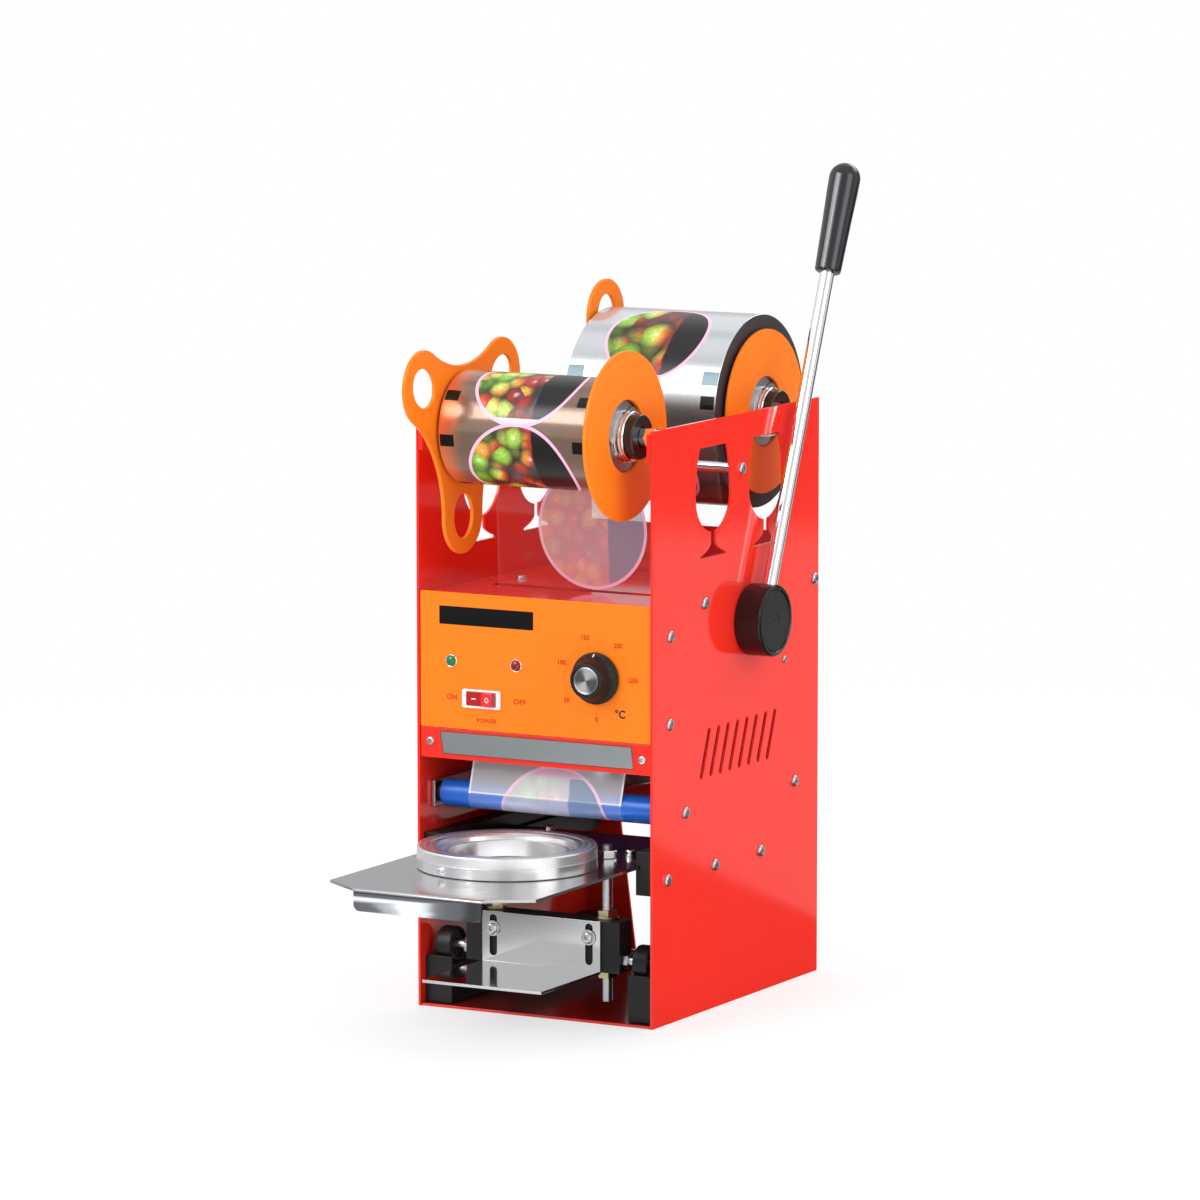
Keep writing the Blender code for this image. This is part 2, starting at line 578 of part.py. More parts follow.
def tray_plate():
    back = TRAY_FRONT + TRAY_LENGTH
    corner = TRAY_FRONT + TRAY_CHAMFER
    outline = [(-TRAY_LIP_HALF, TRAY_FRONT), (TRAY_LIP_HALF, TRAY_FRONT), (TRAY_HALF, corner),
               (TRAY_HALF, back), (-TRAY_HALF, back), (-TRAY_HALF, corner)]
    bottom = TRAY_TOP - TRAY_SHEET
    plate = prism("tray_plate", outline, bottom, TRAY_TOP, colour="mirror_steel")
    low, radius = TRAY_TOP - TRAY_LIP_HEIGHT, 0.005
    lip = arc((-TRAY_LIP_HALF + radius, low + radius), radius, 180, 270, 4)
    lip += arc((TRAY_LIP_HALF - radius, low + radius), radius, 270, 360, 4)
    lip += [(TRAY_LIP_HALF, TRAY_TOP - TRAY_SHEET / 2), (-TRAY_LIP_HALF, TRAY_TOP - TRAY_SHEET / 2)]
    # an outline on the Y axis is given as (z, x)
    join(plate, prism("tray_lip", [(z, x) for x, z in lip], TRAY_FRONT, TRAY_FRONT + TRAY_SHEET, "Y"))
    reach = (bottom - SHEET, TRAY_TOP + SHEET)
    cut(plate, rod("tray_cup_hole", RING_BORE_RADIUS + 0.002, *reach, (0, RING_Y, 0)))
    for side in (-1, 1):
        place = (side * HANGER_X, HANGER_Y, 0)
        cut(plate, rod("tray_rod_hole", HANGER_RADIUS + GAP, *reach, place, sides=SMALL_ROUND))
    return plate


def cup_ring():
    bottom = TRAY_TOP + GAP
    top = bottom + RING_HEIGHT
    seat = top - RING_SEAT_DEPTH
    profile = [(RING_BORE_RADIUS, bottom), (RING_RADIUS, bottom), (RING_RADIUS, top - 0.0008),
               (RING_RADIUS - 0.0008, top), (RING_SEAT_RADIUS + 0.0015, top), (RING_SEAT_RADIUS, top - 0.0015),
               (RING_SEAT_RADIUS, seat), (RING_BORE_RADIUS, seat)]
    return turned("cup_ring", profile, (0, RING_Y, 0), colour="aluminium", sides=FINE_ROUND)


def cross_bar():
    """The bar hung under the tray, with a pressed-in pin at each end for a wheel."""
    low = (-BAR_HALF_LENGTH, BAR_FRONT, BAR_BOTTOM)
    high = (BAR_HALF_LENGTH, BAR_FRONT + BAR_DEPTH, BAR_TOP)
    bar = block("cross_bar", low, high, "black_plastic")
    pin_end = INSIDE_X - 0.005
    for side in (-1, 1):
        ends = sorted((side * (BAR_HALF_LENGTH - 0.008), side * pin_end))
        pin = rod("cross_bar_pin", 0.004, *ends, (0, WHEEL_Y, WHEEL_Z), "X", sides=SMALL_ROUND)
        hole = rod("cross_bar_hole", HANGER_RADIUS + GAP, BAR_BOTTOM - SHEET, BAR_TOP + SHEET,
                   (side * HANGER_X, HANGER_Y, 0), sides=SMALL_ROUND)
        screw = rod("cross_bar_screw_hole", SLOT_SCREW_RADIUS + GAP, BAR_FRONT - SHEET, BAR_FRONT + 0.009,
                    (side * SLOT_X, 0, SLOT_SCREW_Z), "Y", sides=SMALL_ROUND)
        join(bar, pin)
        cut(bar, hole, screw)
    return bar


def hanger_rod(name, side):
    """A threaded rod that hangs the bar from the tray, with its nuts above and below both."""
    place = (side * HANGER_X, HANGER_Y, 0)
    rod_top = TRAY_TOP + 0.010
    hanger = rod(name, HANGER_RADIUS, HANGER_BOTTOM, rod_top, place, sides=SMALL_ROUND)
    thick, across = 0.0055, 0.013
    bottoms = (TRAY_TOP + GAP, TRAY_TOP - TRAY_SHEET - GAP - thick, BAR_TOP + GAP, BAR_BOTTOM - GAP - thick)
    for bottom in bottoms:
        join(hanger, prism(f"{name}_nut", hexagon(across, place[:2]), bottom, bottom + thick))
    return hanger


def cup_support():
    """An angle plate that holds a cup's base, adjustable in height on two slots."""
    back = BAR_FRONT - GAP
    face = back - SHEET
    front = face - SUPPORT_REACH
    outline = [(front, SUPPORT_BOTTOM), (back, SUPPORT_BOTTOM), (back, BAR_TOP), (face, BAR_TOP),
               (face, SUPPORT_BOTTOM + SHEET), (front, SUPPORT_BOTTOM + SHEET)]
    plate = prism("cup_support", outline, -SUPPORT_HALF_WIDTH, SUPPORT_HALF_WIDTH, "X", "mirror_steel")
    for side in (-1, 1):
        x = side * SLOT_X
        slot = arc((x, SLOT_HIGH - SLOT_HALF_WIDTH), SLOT_HALF_WIDTH, 0, 180, 8)
        slot += arc((x, SLOT_LOW + SLOT_HALF_WIDTH), SLOT_HALF_WIDTH, 180, 360, 8)
        slot = [(z, across) for across, z in slot]
        cut(plate, prism("cup_support_slot", slot, face - SHEET, back + SHEET, "Y"))
    return plate


def slot_screw(name, side):
    face = BAR_FRONT - GAP - SHEET - GAP
    washer, head = 0.001, 0.003
    profile = [(0, face - washer - head), (0.0030, face - washer - head + 0.0004),
               (0.0044, face - washer - 0.0012),
               (0.0044, face - washer), (0.0056, face - washer), (0.0056, face), (SLOT_SCREW_RADIUS, face),
               (SLOT_SCREW_RADIUS, BAR_FRONT + 0.008), (0, BAR_FRONT + 0.008)]
    return turned(name, profile, (side * SLOT_X, 0, SLOT_SCREW_Z), "Y", "steel", SMALL_ROUND)


def wheel(name, side):
    ends = sorted((side * (INSIDE_X - 0.0072), side * (INSIDE_X - 0.0072 - WHEEL_WIDTH)))
    radius, bore = WHEEL_RADIUS - GAP, 0.004 + GAP
    profile = [(bore, ends[0]), (radius - 0.001, ends[0]), (radius, ends[0] + 0.001),
               (radius, ends[1] - 0.001), (radius - 0.001, ends[1]), (bore, ends[1])]
    return turned(name, profile, (0, WHEEL_Y, WHEEL_Z), "X", "black_plastic", ROUND)


def tray_assembly():
    pieces = [tray_plate(), cup_ring(), cross_bar()]
    pieces += [hanger_rod("left_hanger_rod", -1), hanger_rod("right_hanger_rod", 1)]
    pieces += [slot_screw("left_slot_screw", -1), slot_screw("right_slot_screw", 1)]
    pivot("tray_slide", (0, RING_Y, TRAY_TOP), pieces)
    pivot("support_slide", (0, BAR_FRONT, SLOT_SCREW_Z), [cup_support()])
    for name, side in (("left_wheel", -1), ("right_wheel", 1)):
        pivot(f"{name}_axis", (side * INSIDE_X, WHEEL_Y, WHEEL_Z), [wheel(name, side)])


# ---------------------------------------------------------------- film rolls and rollers
def star_outline(first_angle):
    """Three round lobes joined by hollow sides; the hollows are arcs tangent to the lobes."""
    step = STAR_LOBE_RADIUS - STAR_WAIST
    hollow_centre = (STAR_HOLE_CIRCLE ** 2 - step ** 2) / (STAR_HOLE_CIRCLE + 2 * step)
    hollow = hollow_centre - STAR_WAIST
    lean = math.degrees(math.asin(hollow_centre * math.sin(math.radians(60)) / (STAR_LOBE_RADIUS + hollow)))
    if hollow_centre / 2 < STAR_HOLE_CIRCLE:
        lean = 180 - lean
    share = STAR_HOLE_CIRCLE * math.sin(math.radians(60)) / (STAR_LOBE_RADIUS + hollow)
    spread = math.degrees(math.asin(share))
    outline = []
    for index in range(3):
        heading = first_angle + 120 * index
        turn = math.radians(heading)
        lobe = (STAR_HOLE_CIRCLE * math.cos(turn), STAR_HOLE_CIRCLE * math.sin(turn))
        outline += arc(lobe, STAR_LOBE_RADIUS, heading - lean, heading + lean, 14)
        middle = heading + 60
        bend = (hollow_centre * math.cos(math.radians(middle)), hollow_centre * math.sin(math.radians(middle)))
        outline += arc(bend, hollow, middle + 180 + spread, middle + 180 - spread, 8)[1:-1]
    return outline


def star_flange(name, axis_point, first_angle, low):
    """The hand flange at the left end of a roll, with a finger hole in each lobe."""
    y, z = axis_point
    outline = [(y + u, z + v) for u, v in star_outline(first_angle)]
    star = prism(name, outline, low, low + FLANGE_THICKNESS, "X", "orange_plastic")
    reach = (low - SHEET, low + FLANGE_THICKNESS + SHEET)
    cut(star, rod(f"{name}_bore", ROLL_SHAFT_RADIUS + GAP, *reach, (0, y, z), "X", sides=ROUND))
    long_half, short_half = 0.016, 0.0135
    for index in range(3):
        heading = math.radians(first_angle + 120 * index)
        along = Vector((math.cos(heading), math.sin(heading)))
        across = Vector((-along.y, along.x))
        hole = []
        for step in range(18):
            turn = 2 * math.pi * step / 18
            spot = along * (STAR_HOLE_CIRCLE + long_half * math.cos(turn))
            spot += across * (short_half * math.sin(turn))
            hole.append((y + spot.x, z + spot.y))
        cut(star, prism(f"{name}_finger_hole", hole, *reach, "X"))
    return star


def film_roll(prefix, axis_point, film_radius, first_angle):
    """A roll on its shaft: star flange, film on its core, round flange and clamp collars."""
    centre = (0, *axis_point)
    plug = CORE_RADIUS - 0.0022
    inner_face = FILM_HALF + 0.0008
    disc_end = inner_face + 0.0012
    chrome_end, black_end = disc_end + 0.0095, disc_end + 0.0185
    shaft_end = INSIDE_X - 0.0012
    left_face = -disc_end - FLANGE_THICKNESS - GAP
    profile = [(0, -shaft_end), (ROLL_SHAFT_RADIUS, -shaft_end), (ROLL_SHAFT_RADIUS, left_face - 0.004),
               (0.012, left_face - 0.004), (0.012, left_face - GAP), (ROLL_SHAFT_RADIUS, left_face - GAP),
               (ROLL_SHAFT_RADIUS, -disc_end), (FLANGE_HOLE_RADIUS + 0.004, -disc_end),
               (FLANGE_HOLE_RADIUS + 0.004, -inner_face), (plug, -inner_face), (plug, -inner_face + 0.012),
               (ROLL_SHAFT_RADIUS, -inner_face + 0.012), (ROLL_SHAFT_RADIUS, inner_face - 0.012),
               (plug, inner_face - 0.012), (plug, inner_face), (FLANGE_HOLE_RADIUS + 0.004, inner_face),
               (FLANGE_HOLE_RADIUS + 0.004, disc_end), (0.0185, disc_end), (0.0185, chrome_end),
               (0.016, chrome_end), (0.016, black_end), (ROLL_SHAFT_RADIUS, black_end),
               (ROLL_SHAFT_RADIUS, shaft_end), (0, shaft_end)]
    shaft = turned(f"{prefix}_shaft", profile, centre, "X", "chrome", ROUND)
    star = star_flange(f"{prefix}_star", axis_point, first_angle, left_face)
    flange = tube(f"{prefix}_flange", FLANGE_HOLE_RADIUS, FLANGE_RADIUS, disc_end + GAP,
                  disc_end + GAP + FLANGE_THICKNESS, centre, "X", "orange_plastic", FINE_ROUND)
    film = tube(f"{prefix}_film", plug + GAP, film_radius, -FILM_HALF, FILM_HALF, centre, "X", "film",
                FINE_ROUND)
    pivot(f"{prefix}_axis", centre, [shaft, star, flange, film])


def roller(name, axis_point):
    """A rubber roller with end rings and journals, turned in one."""
    centre = (0, *axis_point)
    half = INSIDE_X - 0.003 - 0.0012
    ring, journal, end = 0.0078, 0.003, INSIDE_X - 0.0004
    profile = [(0, -end), (journal, -end), (journal, -half), (ring, -half), (ring, -half + 0.003),
               (ROLLER_RADIUS, -half + 0.003), (ROLLER_RADIUS, half - 0.003), (ring, half - 0.003), (ring, half),
               (journal, half), (journal, end), (0, end)]
    pivot(f"{name}_axis", centre, [turned(name, profile, centre, "X", "blue_rubber", ROUND)])


def roller_bracket(name, side):
    """The bar on the inside of a side panel that both film rollers turn in."""
    ends = sorted((side * INSIDE_X, side * (INSIDE_X - 0.003)))
    low, high = FRONT_ROLLER_AXIS[0] - 0.009, REAR_ROLLER_AXIS[0] + 0.009
    bar = block(name, (ends[0], low, ROLLER_Z - 0.010), (ends[1], high, ROLLER_Z + 0.009), "steel")
    for y, z in (FRONT_ROLLER_AXIS, REAR_ROLLER_AXIS):
        cut(bar, rod(f"{name}_bore", 0.0034, ends[0] - SHEET, ends[1] + SHEET, (0, y, z), "X",
                     sides=SMALL_ROUND))
    return bar


# ---------------------------------------------------------------- film path, in the (y, z) plane
def tangent_points(first, first_radius, second, second_radius):
    """The straight run that touches two circles.

    Both radii are signed: positive puts the run on the left of the way from first to second.
    """
    start, end = Vector(first), Vector(second)
    way = end - start
    length = way.length
    along = way / length
    left = Vector((-along.y, along.x))
    slope = (first_radius - second_radius) / length
    normal = left * math.sqrt(1 - slope ** 2) + along * slope
    return start + normal * first_radius, end + normal * second_radius


def wrap(centre, radius, start, end, steps):
    """Points round a circle from one point on it to another, the short way."""
    a = math.atan2(start[1] - centre[1], start[0] - centre[0])
    b = math.atan2(end[1] - centre[1], end[0] - centre[0])
    turn = (b - a + math.pi) % (2 * math.pi) - math.pi
    angles = [a + turn * step / steps for step in range(1, steps)]
    return [(centre[0] + radius * math.cos(t), centre[1] + radius * math.sin(t)) for t in angles]


def rear_path():
    """From the supply roll, in front of the guide rod, behind and under the rear roller."""
    guide = (GUIDE_ROD_Y, GUIDE_ROD_Z)
    around_rod = GUIDE_ROD_RADIUS + FILM_OFFSET
    around_roller = ROLLER_RADIUS + FILM_OFFSET
    leave_roll, meet_rod = tangent_points(SUPPLY_AXIS, -SUPPLY_RADIUS - FILM_OFFSET, guide, -around_rod)
    leave_rod, meet_roller = tangent_points(guide, -around_rod, REAR_ROLLER_AXIS, around_roller)
    bottom = (REAR_ROLLER_AXIS[0], ROLLER_Z - around_roller)
    path = [tuple(leave_roll), tuple(meet_rod)]
    path += wrap(guide, around_rod, meet_rod, leave_rod, 3)
    path += [tuple(leave_rod), tuple(meet_roller)]
    path += wrap(REAR_ROLLER_AXIS, around_roller, meet_roller, bottom, 7)
    path.append(bottom)
    return path


def front_path():
    """From under the front roller, up its front, behind the panel and up to the take-up roll."""
    around_roller = ROLLER_RADIUS + FILM_OFFSET
    bottom = (FRONT_ROLLER_AXIS[0], ROLLER_Z - around_roller)
    edge = (DECK_SLOT_FRONT + 2 * GAP, DECK_BOTTOM - GAP)
    leave_roller, meet_edge = tangent_points(FRONT_ROLLER_AXIS, around_roller, edge, 0)
    leave_edge, meet_roll = tangent_points(edge, 0, TAKEUP_AXIS, -TAKEUP_RADIUS - FILM_OFFSET)
    path = [bottom]
    path += wrap(FRONT_ROLLER_AXIS, around_roller, bottom, leave_roller, 7)
    path += [tuple(leave_roller), tuple(meet_edge), tuple(meet_roll)]
    return path


def rear_slot():
    """Front and rear edges of the deck's slot for the film from the supply roll."""
    high, low = rear_path()[:2]
    share = (high[1] - DECK_TOP) / (high[1] - low[1])
    middle = high[0] + (low[0] - high[0]) * share
    return middle - 0.0065, middle + 0.0065


def web(name, path):
    """A path thickened to a strip of film."""
    sides = ([], [])
    points = [Vector(point) for point in path]
    for index, point in enumerate(points):
        before = points[max(index - 1, 0)]
        after = points[min(index + 1, len(points) - 1)]
        along = (after - before).normalized()
        normal = Vector((-along.y, along.x)) * (FILM_THICKNESS / 2)
        sides[0].append(tuple(point + normal))
        sides[1].append(tuple(point - normal))
    outline = sides[0] + sides[1][::-1]
    return prism(name, outline, -FILM_HALF, FILM_HALF, "X", "film")


def film_webs():
    web("rear_web", rear_path())
    web("front_web", front_path())
    height = ROLLER_Z - ROLLER_RADIUS - FILM_OFFSET
    ends = [(REAR_ROLLER_AXIS[0] - GAP, height), (FRONT_ROLLER_AXIS[0] + GAP, height)]
    flat = web("seal_web", ends)
    hole = rod("seal_web_hole", HEAD_RADIUS + FILM_HOLE_CLEARANCE, height - SHEET, height + SHEET,
               (0, HEAD_Y, 0))
    cut(flat, hole)


# ---------------------------------------------------------------- press
def press_bridge():
    """The plate that guides the head, with end flanges welded to the side panels."""
    top = BRIDGE_BOTTOM + BRIDGE_THICKNESS
    low = (-INSIDE_X, HEAD_Y - 0.040, BRIDGE_BOTTOM)
    high = (INSIDE_X, HEAD_Y + 0.095, top)
    bridge = channel("press_bridge", low, high, 0.003, 0.022, "steel")
    for side in (-1, 1):
        place = (side * GUIDE_POST_X, HEAD_Y, 0)
        cut(bridge, rod("press_bridge_seat", GUIDE_POST_RADIUS + 0.002, BRIDGE_BOTTOM - SHEET,
                        top + SHEET, place, sides=SMALL_ROUND))
        join(bridge, tube("press_bridge_bush", GUIDE_POST_RADIUS + GAP, GUIDE_POST_RADIUS + 0.004,
                          BRIDGE_BOTTOM - 0.006, top + 0.004, place, sides=SMALL_ROUND))
    return cut(bridge, block("press_bridge_window", (-0.017, COLUMN_FRONT - 0.003, BRIDGE_BOTTOM - SHEET),
                             (0.017, COLUMN_BACK + 0.003, top + SHEET)))


def head_carrier():
    """The plate that carries the head, with the column that the crank presses on."""
    top = CARRIER_BOTTOM + CARRIER_THICKNESS
    low = (-GUIDE_POST_X - 0.011, HEAD_Y - 0.030, CARRIER_BOTTOM)
    high = (GUIDE_POST_X + 0.011, COLUMN_BACK, top)
    carrier = block("head_carrier", low, high, "steel")
    pad = PIN_REST_Z - CRANK_ROLLER_RADIUS - CRANK_PLAY
    join(carrier, block("head_column", (-0.014, COLUMN_FRONT, top - SHEET), (0.014, COLUMN_BACK - GAP, pad)))
    for side in (-1, 1):
        place = (side * GUIDE_POST_X, HEAD_Y, 0)
        cut(carrier, rod("carrier_bore", 0.0045 + GAP, CARRIER_BOTTOM - SHEET, top + SHEET, place,
                         sides=SMALL_ROUND))
    return carrier


def guide_post(name, side):
    """A post stepped through the carrier, with a nut below and a spring collar at its top."""
    top = CARRIER_BOTTOM + CARRIER_THICKNESS
    profile = [(0, CARRIER_BOTTOM - 0.006), (0.0075, CARRIER_BOTTOM - 0.006), (0.0075, CARRIER_BOTTOM - GAP),
               (0.0045, CARRIER_BOTTOM - GAP), (0.0045, top + GAP), (GUIDE_POST_RADIUS, top + GAP),
               (GUIDE_POST_RADIUS, POST_TOP - 0.006), (0.0105, POST_TOP - 0.006), (0.0105, POST_TOP),
               (0, POST_TOP)]
    return turned(name, profile, (side * GUIDE_POST_X, HEAD_Y, 0), "Z", "chrome", SMALL_ROUND)


def heating_plate():
    boss_top = HEAD_Z + 0.0163
    profile = [(0, HEAD_Z), (HEAD_RADIUS - 0.001, HEAD_Z), (HEAD_RADIUS, HEAD_Z + 0.001),
               (HEAD_RADIUS, HEAD_Z + 0.012), (0.015, HEAD_Z + 0.012), (0.015, boss_top), (0, boss_top)]
    return turned("heating_plate", profile, (0, HEAD_Y, 0), colour="aluminium", sides=FINE_ROUND)


def cutter_ring():
    """A cup-shaped blade round the heating plate, with the spacer that bolts it to the carrier."""
    inner, outer = HEAD_RADIUS + GAP, HEAD_RADIUS + 0.0025
    edge, roof = HEAD_Z + 0.001, HEAD_Z + 0.0166
    profile = [(0, roof), (inner, roof), (inner, edge), (outer - 0.0010, edge), (outer, edge + 0.004),
               (outer, roof + 0.005), (0.034, roof + 0.005), (0.034, CARRIER_BOTTOM - GAP),
               (0, CARRIER_BOTTOM - GAP)]
    return turned("cutter_ring", profile, (0, HEAD_Y, 0), colour="steel", sides=FINE_ROUND)


def press_head():
    pieces = [head_carrier(), guide_post("left_guide_post", -1), guide_post("right_guide_post", 1)]
    pieces += [heating_plate(), cutter_ring()]
    pivot("head_slide", (0, HEAD_Y, HEAD_Z), pieces)


def return_spring(name, side):
    """A compression spring between the bridge's bush and the post's collar."""
    wire, coil, turns, per_turn = 0.0009, 0.0086, 6, 10
    low = BRIDGE_BOTTOM + BRIDGE_THICKNESS + 0.004 + GAP + wire
    high = POST_TOP - 0.006 - GAP - wire
    curve = bpy.data.curves.new(name, "CURVE")
    curve.dimensions = "3D"
    curve.bevel_depth = wire
    curve.bevel_resolution = 0
    curve.use_fill_caps = True
    count = turns * per_turn
    spline = curve.splines.new("POLY")
    spline.points.add(count)
    for step in range(count + 1):
        turn = 2 * math.pi * step / per_turn
        spot = (side * GUIDE_POST_X + coil * math.cos(turn), HEAD_Y + coil * math.sin(turn),
                low + (high - low) * step / count, 1)
        spline.points[step].co = spot
    curve.materials.append(finish("spring_steel"))
    spring = bpy.data.objects.new(name, curve)
    bpy.context.collection.objects.link(spring)
    return spring


# ---------------------------------------------------------------- lever
def shaft_bearing(name, side):
    """A flanged bush pushed through a side panel from the inside."""
    inner, outer = SHAFT_RADIUS + GAP, SHAFT_RADIUS + 0.006 - GAP
    flange, panel_face = BEARING_FLANGE_RADIUS, INSIDE_X
    profile = [(inner, panel_face - 0.006), (flange, panel_face - 0.006), (flange, panel_face),
               (outer, panel_face), (outer, OUTER_X - GAP), (inner, OUTER_X - GAP)]
    profile = [(radius, side * height) for radius, height in profile]
    return turned(name, profile, (0, SHAFT_Y, SHAFT_Z), "X", "steel", ROUND)


def crank():
    """Two arms and the pin with its roller, clamped to the shaft as one piece."""
    def arm(low, name):
        head = (PIN_REST_Y, PIN_REST_Z)
        hub = (SHAFT_Y, SHAFT_Z)
        heading = 180 - math.degrees(CRANK_HALF_SWING)
        outline = arc(head, CRANK_TIP_RADIUS, heading - 90, heading + 90, 8)
        outline += arc(hub, 0.0135, heading + 90, heading + 270, 12)
        piece = prism(name, outline, low, low + 0.006, "X")
        return cut(piece, rod(f"{name}_bore", SHAFT_RADIUS + GAP, low - SHEET, low + 0.006 + SHEET,
                              (0, SHAFT_Y, SHAFT_Z), "X", sides=ROUND))
    near, far = 0.0155, 0.0215
    whole = arm(near, "crank")
    profile = [(0, -far - 0.002), (0.004, -far - 0.002), (0.004, -0.0135), (CRANK_ROLLER_RADIUS, -0.0135),
               (CRANK_ROLLER_RADIUS, 0.0135), (0.004, 0.0135), (0.004, far + 0.002), (0, far + 0.002)]
    pin = turned("crank_pin", profile, (0, PIN_REST_Y, PIN_REST_Z), "X", sides=SMALL_ROUND)
    return join(whole, pin, arm(-far, "crank_far_arm"))


def lever_hub():
    low = OUTER_X + GAP
    high = low + LEVER_HUB_THICKNESS
    bore = SHAFT_RADIUS + GAP
    profile = [(bore, low), (LEVER_HUB_RADIUS - 0.001, low), (LEVER_HUB_RADIUS, low + 0.001),
               (LEVER_HUB_RADIUS, high - 0.001), (LEVER_HUB_RADIUS - 0.001, high), (0.0225, high),
               (0.0218, high - 0.0006), (0, high - 0.0006), (0, high - 0.005), (bore, high - 0.005)]
    hub = turned("lever_hub", profile, (0, SHAFT_Y, SHAFT_Z), "X", "black_plastic", FINE_ROUND)
    angle = math.radians(-34)
    lug = (0, SHAFT_Y + 0.0245 * math.cos(angle), SHAFT_Z + 0.0245 * math.sin(angle))
    join(hub, rod("lever_hub_lug", 0.0055, low + 0.001, low + 0.011, lug, "X", sides=SMALL_ROUND))
    socket = rod("lever_socket", LEVER_ROD_RADIUS + GAP, 0.0120, 0.040, (0, 0, 0), sides=SMALL_ROUND)
    socket.location = (low + LEVER_HUB_THICKNESS / 2, SHAFT_Y, SHAFT_Z)
    socket.rotation_euler.x = -LEVER_LEAN
    return cut(hub, socket)


def lever():
    middle = OUTER_X + GAP + LEVER_HUB_THICKNESS / 2
    grip_low = LEVER_LENGTH - GRIP_LENGTH
    bar = rod("lever_rod", LEVER_ROD_RADIUS, 0.0125, grip_low + 0.030, (0, 0, 0), "Z", "chrome", SMALL_ROUND)
    neck, dome = LEVER_ROD_RADIUS + GAP, GRIP_RADIUS_TOP
    profile = [(neck, grip_low), (GRIP_RADIUS_LOW - 0.001, grip_low), (GRIP_RADIUS_LOW, grip_low + 0.0015),
               (GRIP_RADIUS_TOP, LEVER_LENGTH - dome)]
    profile += [(dome * math.cos(t), LEVER_LENGTH - dome + dome * math.sin(t))
                for t in (math.radians(22.5 * step) for step in range(1, 4))]
    profile += [(0, LEVER_LENGTH), (0, grip_low + 0.031), (neck, grip_low + 0.031)]
    grip = turned("lever_grip", profile, (0, 0, 0), "Z", "black_plastic", ROUND)
    for item in (bar, grip):
        item.rotation_euler.x = -LEVER_LEAN
        item.location = (middle, SHAFT_Y, SHAFT_Z)
    shaft = rod("main_shaft", SHAFT_RADIUS, -OUTER_X + GAP, OUTER_X + LEVER_HUB_THICKNESS - 0.006,
                (0, SHAFT_Y, SHAFT_Z), "X", "steel", ROUND)
    pivot("lever_axis", (0, SHAFT_Y, SHAFT_Z), [shaft, crank(), lever_hub(), bar, grip])


# ---------------------------------------------------------------- assembly
def build():
    clear_scene()
    side_panel("left_side_panel", -1)
    side_panel("right_side_panel", 1)
    base_plate()
    rear_panel()
    top_deck()
    control_panel()
    film_guard()
    housing_rods()
    lamp("green_lamp", GREEN_LAMP, "green_lens")
    lamp("red_lamp", RED_LAMP, "red_lens")
    switch_housing()
    switch_rocker()
    thermostat()
    power_inlet()
    for name, side in (("left", -1), ("right", 1)):
        upper_rail(f"{name}_upper_rail", side)
        lower_rail(f"{name}_lower_rail", side)
        roller_bracket(f"{name}_roller_bracket", side)
        return_spring(f"{name}_return_spring", side)
        shaft_bearing(f"{name}_shaft_bearing", side)
    tray_assembly()
    film_roll("takeup", TAKEUP_AXIS, TAKEUP_RADIUS, 30)
    film_roll("supply", SUPPLY_AXIS, SUPPLY_RADIUS, 90)
    roller("front_roller", FRONT_ROLLER_AXIS)
    roller("rear_roller", REAR_ROLLER_AXIS)
    film_webs()
    press_bridge()
    press_head()
    lever()


build()
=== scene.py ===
"""Looks of the manual cup sealing machine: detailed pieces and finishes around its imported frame."""
import math

import bmesh
import bpy
from mathutils import Matrix, Vector


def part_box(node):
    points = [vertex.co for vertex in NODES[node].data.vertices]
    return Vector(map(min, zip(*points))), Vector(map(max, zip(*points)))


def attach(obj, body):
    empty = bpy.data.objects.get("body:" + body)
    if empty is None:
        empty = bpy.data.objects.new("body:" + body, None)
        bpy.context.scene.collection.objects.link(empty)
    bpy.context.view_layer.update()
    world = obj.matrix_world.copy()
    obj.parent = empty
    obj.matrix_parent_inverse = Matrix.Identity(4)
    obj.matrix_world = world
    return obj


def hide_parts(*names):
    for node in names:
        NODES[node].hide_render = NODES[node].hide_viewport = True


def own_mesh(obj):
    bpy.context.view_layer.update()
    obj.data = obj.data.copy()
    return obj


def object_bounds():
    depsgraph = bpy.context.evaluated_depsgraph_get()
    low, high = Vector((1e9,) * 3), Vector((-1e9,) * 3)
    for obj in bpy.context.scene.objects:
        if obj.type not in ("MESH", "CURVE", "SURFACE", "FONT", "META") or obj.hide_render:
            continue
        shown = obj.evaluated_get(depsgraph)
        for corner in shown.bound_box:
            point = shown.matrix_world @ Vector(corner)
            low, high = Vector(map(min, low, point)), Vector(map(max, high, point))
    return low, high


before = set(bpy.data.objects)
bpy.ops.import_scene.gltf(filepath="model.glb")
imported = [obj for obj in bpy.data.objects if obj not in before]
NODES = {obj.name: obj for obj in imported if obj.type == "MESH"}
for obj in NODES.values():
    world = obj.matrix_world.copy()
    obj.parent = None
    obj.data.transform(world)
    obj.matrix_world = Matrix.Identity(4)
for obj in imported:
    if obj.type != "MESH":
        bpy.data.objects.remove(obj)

cad_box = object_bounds()
MM = 0.001


def middle(node):
    low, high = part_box(node)
    return (low + high) / 2


def flat_middle(node):
    """A node's middle as seen from the front, in (x, z)."""
    return (middle(node).x, middle(node).z)


def on_axis(node):
    """A place on the X axis of a node that turns about X, at X = 0."""
    return (0, middle(node).y, middle(node).z)


def half_height(node):
    low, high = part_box(node)
    return (high.z - low.z) / 2


